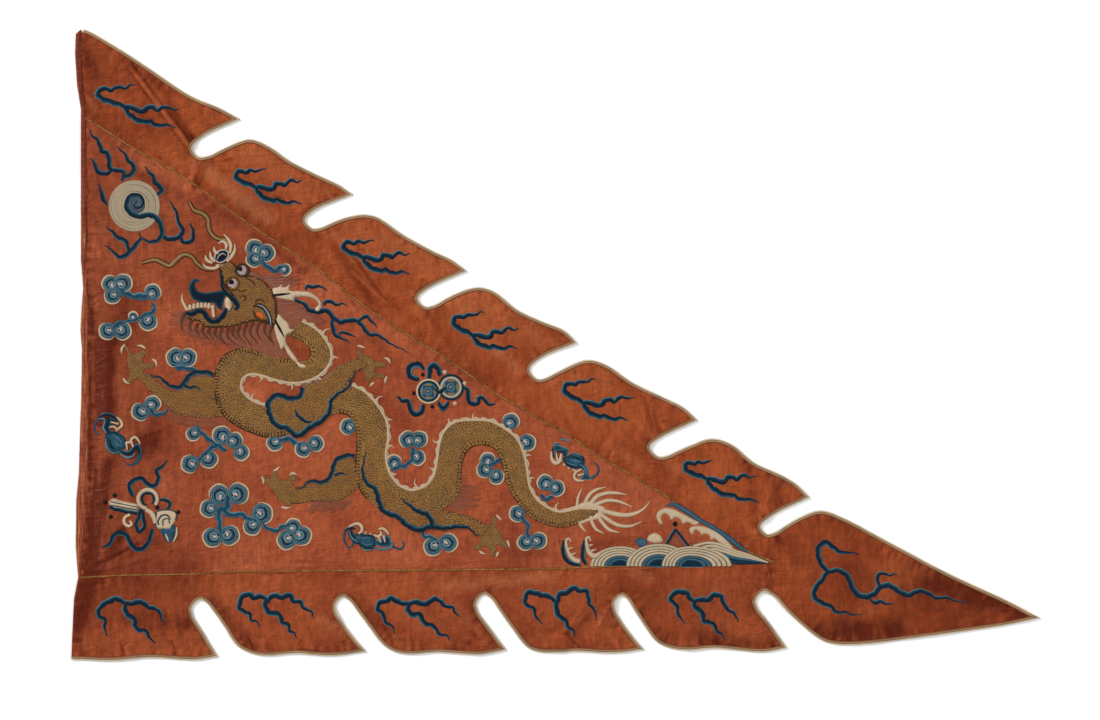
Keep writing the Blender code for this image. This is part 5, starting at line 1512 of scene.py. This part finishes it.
BAT_PALE_LINES = [
    # widths, points in squares
    ([1.4, 1.8, 2, 2, 1.6], [(98.4, 419), (104.6, 418.8), (105.2, 423.2), (103.6, 427), (107.2, 433)]),
    ([1.4, 2, 2.2, 2, 1.2], [(106.8, 438.6), (107.2, 445.4), (110, 450.6), (115.2, 453.2), (119.8, 451)]),
    ([1.2, 1.8, 2, 1.8, 1.2], [(120, 452.2), (123.2, 455.6), (128, 457.4), (133, 456), (135.8, 452.6)]),
    ([1, 1.4, 1], [(113, 434.6), (118, 437.4), (121.6, 442.4)]),
    ([0.8, 1.4, 0.8], [(116, 441), (118.6, 445), (122, 446)]),
    ([1, 1.6, 1], [(362.2, 542.6), (366.4, 544.6), (372.4, 543.8)]),
    ([1, 1.4, 1], [(356.8, 536.8), (363.2, 537.8), (370.4, 537.8)]),
    ([1, 1.8, 1], [(361.2, 547), (366, 549.8), (372.8, 549.2)]),
    ([1, 1.6, 1], [(349.6, 531.4), (352, 537.4), (358, 542)]),
    ([1.4, 2, 2.2, 2, 1.2], [(374.2, 547), (377.8, 548.8), (386, 549), (391.4, 547), (392.6, 541.8)]),
    ([1, 1.6, 1], [(554.4, 445.2), (559.4, 445.6), (567.6, 449.4)]),
    ([1, 1.6, 1], [(570, 454.6), (575, 453.4), (581.4, 456)]),
    ([1, 1.4, 1], [(569.4, 459.2), (575, 461), (580.6, 461.6)]),
    ([1, 1.8, 1], [(580.6, 464), (585, 468.6), (586.8, 476)]),
    ([1.8, 2.4, 1.6], [(560.4, 439.6), (565.4, 439.4), (569.6, 441.8)]),
    ([1, 1.4, 0.8], [(566, 462), (571, 464.4), (577, 465.2)]),
]
SIGN_TEAL_LINES = [
    # the bats' tails and feelers: widths, points in squares
    ([1.6, 2, 2, 2, 1.2], [(100.8, 418.6), (96, 422.4), (94.8, 427.4), (96.4, 433.2), (101.2, 434)]),
    ([4.6, 4, 2.6, 2, 1], [(140.4, 454), (138.8, 459.6), (134.4, 464), (129, 464.6), (125.8, 462.4)]),
    ([2.6, 3.6, 3.4, 3], [(105.4, 418.8), (105.8, 424), (104.6, 427), (108, 433)]),
    ([3.4, 4, 4, 3], [(349, 531.8), (352.4, 538.2), (356.8, 541.8), (361.4, 541.4)]),
    ([1.4, 1.8, 1.8, 1.2], [(352.2, 537), (353, 541.8), (351.8, 546.4), (349.4, 547.4)]),
    ([2.4, 2, 1.2], [(345.4, 529.5), (344.2, 539.5), (349.5, 549.8)]),
    ([2.4, 2.2, 1.2], [(392.7, 546.6), (401, 549), (404, 545), (402, 541)]),
    ([1.2, 1.8, 2.2, 2.2, 2.4], [(593.6, 462.6), (596.8, 464.6), (598.6, 470), (596, 475.4),
        (591.4, 478.2)]),
    ([1, 2.6, 1], [(437.4, 404.4), (443.2, 410.4), (449.2, 404.4)]),
]
SIGN_CREAM_LINES = [
    # the bats' wings, then the scroll's ribbon: widths, points in squares
    ([1.4, 2.8, 3, 2.6, 1.4], [(117, 416.6), (121.4, 421.4), (122.4, 425.2), (118.6, 428.8), (116.4, 431)]),
    ([1.6, 2.4], [(111.4, 421.8), (119, 424)]),
    ([1.8, 2.6, 2.4], [(110.2, 427), (114.4, 426.6), (117, 429)]),
    ([2, 2, 1.6], [(126.6, 442), (127.2, 446), (127.6, 449.8)]),
    ([2.8, 2], [(131.8, 441.4), (133.6, 447)]),
    ([2, 2.6, 2.8, 2.8, 2.6, 1.2], [(126.2, 442.4), (130.6, 442), (132.4, 438.6), (135.4, 437),
        (138.2, 439.4), (140.6, 444)]),
    ([1.2, 2.6, 3.4, 3.6, 3.2, 1.8], [(348.6, 527), (353.2, 524.4), (358.2, 523.6), (361.8, 526.4),
        (362, 530.4), (358.6, 533.6)]),
    ([1.6, 3, 2.6], [(373.6, 534.4), (377.8, 536.2), (382.4, 533.6)]),
    ([2.6, 1.6], [(378.4, 536.4), (381, 542.4)]),
    ([2.6, 1.6], [(383.6, 535), (385.2, 542)]),
    ([2, 2], [(380.4, 530.8), (381.4, 533.8)]),
    ([1.8, 3, 3, 1.2], [(378.6, 529.6), (381.8, 528.2), (385.6, 530), (389.2, 534.4)]),
    ([2, 3.4, 4.4, 4, 2.2], [(551.4, 451.4), (551.8, 459), (555.4, 463), (559.6, 461), (561.4, 453.6)]),
    ([1.6, 3], [(556.4, 452.8), (557.4, 460.4)]),
    ([1.6, 2.6, 2], [(572.4, 469), (576.4, 471.4), (581.4, 469)]),
    ([2.6, 3, 3, 1.2], [(576.4, 471.4), (574, 475.4), (576, 479.6), (584, 481)]),
    ([2.6, 1.6], [(577.6, 475.6), (583.6, 473.8)]),
    ([4, 4.2, 4, 3.6], arc((148.1, 499), 9.4, 262, -300, 14)),
    ([3, 3.6, 3.4, 2], [(130.6, 514.3), (125.2, 517.3), (124.6, 522.7), (129, 526), (132.4, 523.5),
        (130, 520.6)]),
    ([4.4, 5.6, 4.4], [(146, 509.6), (151, 512.4), (154, 517), (155.6, 523)]),
    ([1.4, 2.4, 1.4], [(176.9, 527), (176.8, 534), (173.8, 541.6)]),
    ([1.2, 2.6, 1], [(165.6, 533.6), (168.8, 541.4)]),
]
KNOT = (416.5, 371.6)
SIGN_INDIGO_LINES = [
    # the scroll's ribbon, then the coins' ribbon: widths, points in squares
    ([0.8, 3.2, 4.2, 4.2, 4.6, 5, 4.6, 4.6, 5, 5, 4], [(167.3, 460), (163.5, 466), (157.3, 469.9),
        (158.9, 476.8), (157.3, 482.9), (152.7, 486.3), (146.6, 482.9), (141.3, 478.3), (135.1, 479.8),
        (130.6, 483.7), (130.6, 490), (133.6, 496)]),
    ([2.6, 2.6], arc((148.1, 499), 6.2, 250, -300, 12)),
    ([3.6, 3.6, 4, 4, 4, 3.4], [(142.8, 506), (139.4, 517), (136.9, 525), (139.9, 531.4), (144.3, 526.5),
        (143.4, 517), (141, 508)]),
    ([3.6, 4, 3.6], [(109.9, 506.8), (122, 510.4), (138, 513)]),
    ([3, 4, 4, 2.6], [(160.4, 499.6), (166.5, 499.9), (170.3, 503.6), (168.2, 509)]),
    ([3.6, 4.4, 5, 5.2, 5.2, 5.2, 5, 5, 4.6, 4, 1], [(152.7, 529), (150.4, 538), (146.6, 545.6),
        (140.5, 549.3), (133.6, 547.2), (129.8, 541), (126, 534.9), (120.6, 532.6), (114.5, 534.9),
        (112.2, 540.3), (108.4, 544.9), (101.5, 547.4)]),
    ([2.4, 3, 2.4], [(159, 525), (158.4, 520.4), (161.9, 515.8), (168, 515.2), (170.6, 519.4)]),
    ([3, 5.6, 6.6, 6.6, 5.4, 3.6], arc(KNOT, 7.4, 15, 275, 14)),
    ([4.8, 6, 6, 4.8], [(429, 378.5), (430, 368.4), (433.9, 364.8), (438, 368.4), (440.4, 375.4)]),
    ([2.4, 4.4, 5.2, 4.4, 2.4], [(438.6, 401.6), (440.4, 405.4), (443.4, 407.2), (446.6, 405.4),
        (448.2, 401.4)]),
    ([3, 4.6, 5.4, 5.6, 4.6], [(398.4, 396.6), (401.6, 400.4), (407.4, 400.8), (410, 406), (412, 412),
        (417.4, 414.2), (421.6, 411), (423.4, 404.6)]),
    ([3, 4.8, 5, 5, 4.8, 4.4, 4, 3.6, 1.4], [(463.6, 387.4), (468.1, 390), (468.1, 396.4), (470, 402.1),
        (474.5, 404), (477.9, 402.5), (479.2, 397.8), (482, 397), (485.4, 401), (488.4, 404), (495.4, 404)]),
    ([4, 4], [(436.3, 390.6), (445.8, 386.8)]),
]
DARK_DOTS = [
    # x, y, radius, in squares
    (115.2, 495.1, 2.4), (105.7, 502, 2.3), (111.4, 516.6, 2.3), (157.3, 507.4, 2.4), (178.4, 512, 2.4),
    (422.9, 374.7, 2.2), (413.9, 393.2, 2.2), (432.4, 406.6, 2.2), (122.4, 436, 1.1), (368.4, 531, 1.2),
    (373, 535.2, 1), (566, 467.2, 1.2), (675, 523.8, 2.7),
]
CREAM_DOTS = [
    (444.9, 372.1, 2.4), (464.6, 383.3, 2.4), (455, 403.4, 2.4), (120, 433.8, 1.4), (124.2, 439, 1.5),
    (365.8, 532.6, 1.6), (370.6, 534.2, 1.6), (564.2, 464.6, 1.6), (568.8, 467.8, 1.6),
]
COINS = [((428.6, 391.3), 11.6, 9.3), ((451, 387.2), 9.6, 12)]  # centre, radius of cream and dark ring
SCROLL_LINES = [
    # the dark lines on the scroll's roll and on its end
    [(111, 501.4), (125, 504.4), (138.6, 507)], [(111, 505), (125, 507.4), (138, 509.6)],
    [(163, 525.4), (163.6, 519.4), (168.6, 518.6), (169.6, 523.4)],
    [(156.4, 512), (155.4, 521), (156.6, 528)],
    [(156.6, 511), (164, 509.6), (173, 510.4), (177, 514), (175.8, 520)],
]
SCROLL_ROLL = [
    (108.4, 502.4), (111, 499.4), (113.7, 498), (126, 501.4), (139.5, 504.8), (139.2, 508), (138.6, 511),
    (125, 509.4), (112, 507),
]
SCROLL_END = [
    (156.5, 511), (163, 509.4), (173, 510), (177, 513.4), (176, 520), (173, 525), (170, 529.6), (163, 529),
    (156, 528.6), (155, 521),
]
SCROLL_TIP = [(159, 530), (163, 537), (168, 543.3), (174, 540), (176, 531), (174, 523)]
COIN_LINK = [(434.6, 388.4), (439.4, 391.8), (445.6, 387)]
SIGN_BLUE = [(0, "#0C222E"), (0.16, "#264A58"), (0.3, "#16364A"), (0.5, "#284A5E"), (1, "#122C3E")]


def spots(table, base):
    """Small round knots of thread."""
    return [patch(disc((x, y), radius, 9, 1.0), 0.5, base, 1.6, gap=1.2) for x, y, radius in table]


parts = [patch(closed(outline, 1.3), 0.6, 0.3, 5.0, turn=50.0, gap=1.9) for outline in BAT_WINGS]
parts += bands(SIGN_INDIGO_LINES, rise=0.6, base=0.3, knobs=0.08, step=1.2)
parts += [ring(centre, dark, 2.6, rise=0.4, base=0.6) for centre, _, dark in COINS]
parts += [band(closed(outline, 1.3), [1.5], rise=0.3, base=0.9, step=1.2) for outline in BAT_BODIES]
parts += [band(line, [1.1], rise=0.2, base=1.3) for line in SCROLL_LINES]
parts += bands(BAT_NAVY_LINES, rise=0.4, base=1.1, step=1.2)
parts.append(band(COIN_LINK, [2, 4.8, 2], rise=0.5, base=1.5, step=1.2))
sew("signs_indigo", parts, indigo_floss)
parts = [patch(closed(outline, 1.3), 0.9, 0.3, 4.0, turn=-40.0, gap=1.9) for outline in BAT_BODIES]
parts += bands(SIGN_TEAL_LINES, rise=0.4, base=0.3)
parts += [patch(disc(centre, min(size, dark) - 0.6, 16), 0.3, 0.5, 4) for centre, size, dark in COINS]
parts.append(patch(closed(SCROLL_TIP), 0.4, 0.2, 3))
sew("signs_blue", parts, stitched("mid_blue_floss", SIGN_BLUE, thread_mm=2.0, mottle=0.5))
parts = bands(BAT_PALE_LINES, rise=0.3, base=1.4, step=1.2)
parts += [ring(centre, min(size, dark) * share, 1.2, 16, rise=0.2, base=1.0)
          for centre, size, dark in COINS for share in (0.38, 0.82)]
parts.append(band(arc(KNOT, 5.0, 30, 250, 12), [0.8, 1.8, 0.8], rise=0.2, base=0.9))
sew("signs_pale", parts, stitched("pale_teal_floss", ("#28485A", "#587880"), thread_mm=2.0, mottle=0.5))
parts = bands(SIGN_CREAM_LINES, rise=0.5, base=1.1, step=1.2)
parts += [ring(centre, size, 2.1, rise=0.5, base=0.7) for centre, size, _ in COINS]
parts.append(patch(closed(SCROLL_ROLL, 1.2), 0.9, 0.4, 3.6, gap=2))
parts.append(patch(closed(SCROLL_END), 0.5, 0.3, 3, gap=2))
sew("signs_cream", parts + spots(CREAM_DOTS, 1.3), cream_floss)
sew("sign_dots", spots(DARK_DOTS, 1.4), black_floss)
parts = [patch(disc(centre, 2.0, 8, 0.9), 0.2, 1.2, 1.2, gap=1.1) for centre, *_ in COINS]
for centre, size, dark in COINS:
    for turn in (0, 90, 180, 270):
        mark = arc(centre, min(size, dark) * 0.7, turn - 32, 64, 8)
        parts.append(band(mark, [0.8, 3.4, 0.8], rise=0.3, base=0.9, step=1.0))
sew("coin_marks", parts, gold_cord)

# Waves break along the foot of the field. They are humps of striped floss with a blue heart, with
# curling spray to both sides, pebbles and a small peak between.
STRIPES = 6
STRIPE_PITCH, STRIPE_WIDTH = 0.12, 0.125  # as shares of a hump's reach and height
HEART_SHARE = 0.36  # of a hump, inside its stripes
HUMPS = [
    # middle, left reach, right reach, height, lift in mm
    (620, 30, 30, 20, 0.1), (659, 33, 33, 22.5, 0.65), (690, 28.5, 42, 20, 1.2),
]
WAVE_FOOT = 566.0
CREST_STRIPES = 6
SPRAY_BLUE = [
    ([2, 4, 4.6, 4.6, 3], [(564, 540), (563, 547), (564.4, 556), (570, 562.4), (580, 565)]),
    ([2, 4, 4.6, 4], [(584.6, 540), (583, 549), (583, 558), (586, 564)]),
]
CREST_BLUE = [
    ([1.2, 5, 5.6, 4.6, 4.2, 4.8, 5.8, 5, 1.4], [(666, 506), (672.4, 504), (686.3, 511), (700.3, 520.4),
        (708.7, 525), (722.8, 533.6), (735.4, 543.4), (742, 548.4), (748, 552)]),
]
SPRAY_CREAM = [
    ([1.4, 2.6, 3.2, 3.4, 4.4, 5.4, 4.6], [(571, 541.6), (569.4, 538.6), (566.4, 539.6), (566.4, 546),
        (568.8, 553), (573.6, 559), (580, 561.4)]),
    ([1.4, 2.6, 3.4, 4.2, 5.2, 5.4, 2], [(590.6, 541), (589, 536.8), (586.4, 538.6), (587, 546),
        (589.4, 552.6), (594.6, 556), (601, 552)]),
    ([2.6, 1], [(568, 549), (572.8, 547.4)]),
    ([2.6, 1], [(571, 555), (576, 552.6)]),
    ([2.6, 1], [(589, 545.6), (593, 544.4)]),
    ([2.6, 1], [(591, 551), (596.4, 549)]),
]
SPRAY_BODIES = [
    [(658, 522.5), (655.8, 516), (658.4, 510.6), (665, 507.6), (672, 508.4), (681, 512.2), (690.5, 517.6),
     (700, 522.6), (694, 525.6), (688, 522.6), (682.6, 524), (680, 519.6), (675, 517.4), (671, 521),
     (668.4, 515.4), (664, 514), (661.4, 517), (662.8, 523), (660.4, 524.6)],
    [(691, 534.4), (688.6, 530), (690.4, 526.8), (696, 525.6), (704, 526.2), (711, 528.6), (718.5, 532),
     (724.6, 537), (730, 543.4), (734.6, 549.6), (730, 549.8), (724, 546.4), (718.5, 542.4), (714, 538.6),
     (711, 540.4), (708.6, 535.2), (704, 534.2), (701.4, 536.4), (699, 531.6), (695, 530.4), (693.4, 534.6)],
    [(646, 541), (647.4, 536.6), (651.4, 533.4), (656.4, 533), (661, 536), (663, 541.4), (655, 543)],
]
PEBBLE = [(634, 541), (637.4, 537.4), (642, 536.6), (647, 539), (649, 544), (644, 548), (638, 547.6)]
PEAK_TOP = (675, 529.4)
PEAK_FEET = [(666.2, 543.6), (688.4, 546)]
PEAK = [(668, 544), (671.5, 539), (675, 533.6), (679, 538.4), (683, 542.6), (686, 547), (677, 547)]


def hump(middle, left, right, height, share):
    """An arch of a wave from its left foot to its right foot, drawn in by a share."""
    angles = np.linspace(math.pi, 0, 22)
    reach = np.where(angles > math.pi / 2, left, right)
    return np.column_stack([middle + share * reach * np.cos(angles),
                            WAVE_FOOT - share * height * np.sin(angles)])


stripes, deeps, hearts = [], [], []
for middle, left, right, height, lift in HUMPS:
    for k in range(STRIPES):
        share = 1 - STRIPE_PITCH * (k + 0.5)
        widths = [STRIPE_WIDTH * reach for reach in (left, height, height, right)]
        made = band(hump(middle, left, right, height, share), widths, rise=0.4, base=lift)
        (stripes if k < STRIPES - 2 else deeps).append(made)
    core = hump(middle, left, right, height, HEART_SHARE)
    feet = [(middle + 0.35 * right, WAVE_FOOT + 1.4), (middle - 0.35 * left, WAVE_FOOT + 1.4)]
    hearts.append(patch(np.vstack([core[1:-1], feet]), 0.3, lift + 0.1, 2.0))
for k in range(CREST_STRIPES):
    # the crest that runs out to the field's tip: three cream stripes, a pale blue one and two of indigo
    points = [(693 + 4 * k, 546 + 3 * k), (709 + 1.5 * k, 542.6 + 3.1 * k), (722, 545 + 2.9 * k),
              (735, 550.4 + 2.4 * k), (750, 555 + 1.6 * k), (768, 562.2 + 0.2 * k)]
    made = band(points, [3.0, 3.2, 3.2, 2.8, 2.0, 0.8], rise=0.35, base=0.7)
    (stripes if k < 3 else deeps if k == 3 else hearts).append(made)
STRIPE = [(0, "#3E3A30"), (0.22, "#A08E74"), (0.5, "#B7A68C"), (0.8, "#A08E74"), (1, "#3E3A30")]
hearts += bands(SPRAY_BLUE, rise=0.5, base=0.5)
deeps += bands(CREST_BLUE, rise=0.5, base=0.8)
deeps.append(patch(closed(PEBBLE), 0.8, 0.1, 4.0, turn=0.0))
hearts += [band([foot, PEAK_TOP], [3.0, 3.0], rise=0.5, base=0.7, step=1.2) for foot in PEAK_FEET]
sew("peak", [patch(np.array(PEAK), 0.3, 0.2, 2.0, turn=0.0)], mauve_floss)
sprays = bands(SPRAY_CREAM, rise=0.5, base=0.6, step=1.2)
sprays += [patch(closed(outline, 1.3), 0.8, 0.4, 3.0, turn=-35.0, gap=1.9) for outline in SPRAY_BODIES]
sew("wave_stripes", stripes, stitched("cream_stripe_floss", STRIPE, thread_mm=1.8, mottle=0.14))
sew("wave_blues", deeps, stitched("pale_blue_floss", ("#152E3E", "#3C5C6A"), thread_mm=1.8))
sew("wave_hearts", hearts, indigo_floss)
sew("wave_spray", sprays, cream_floss)
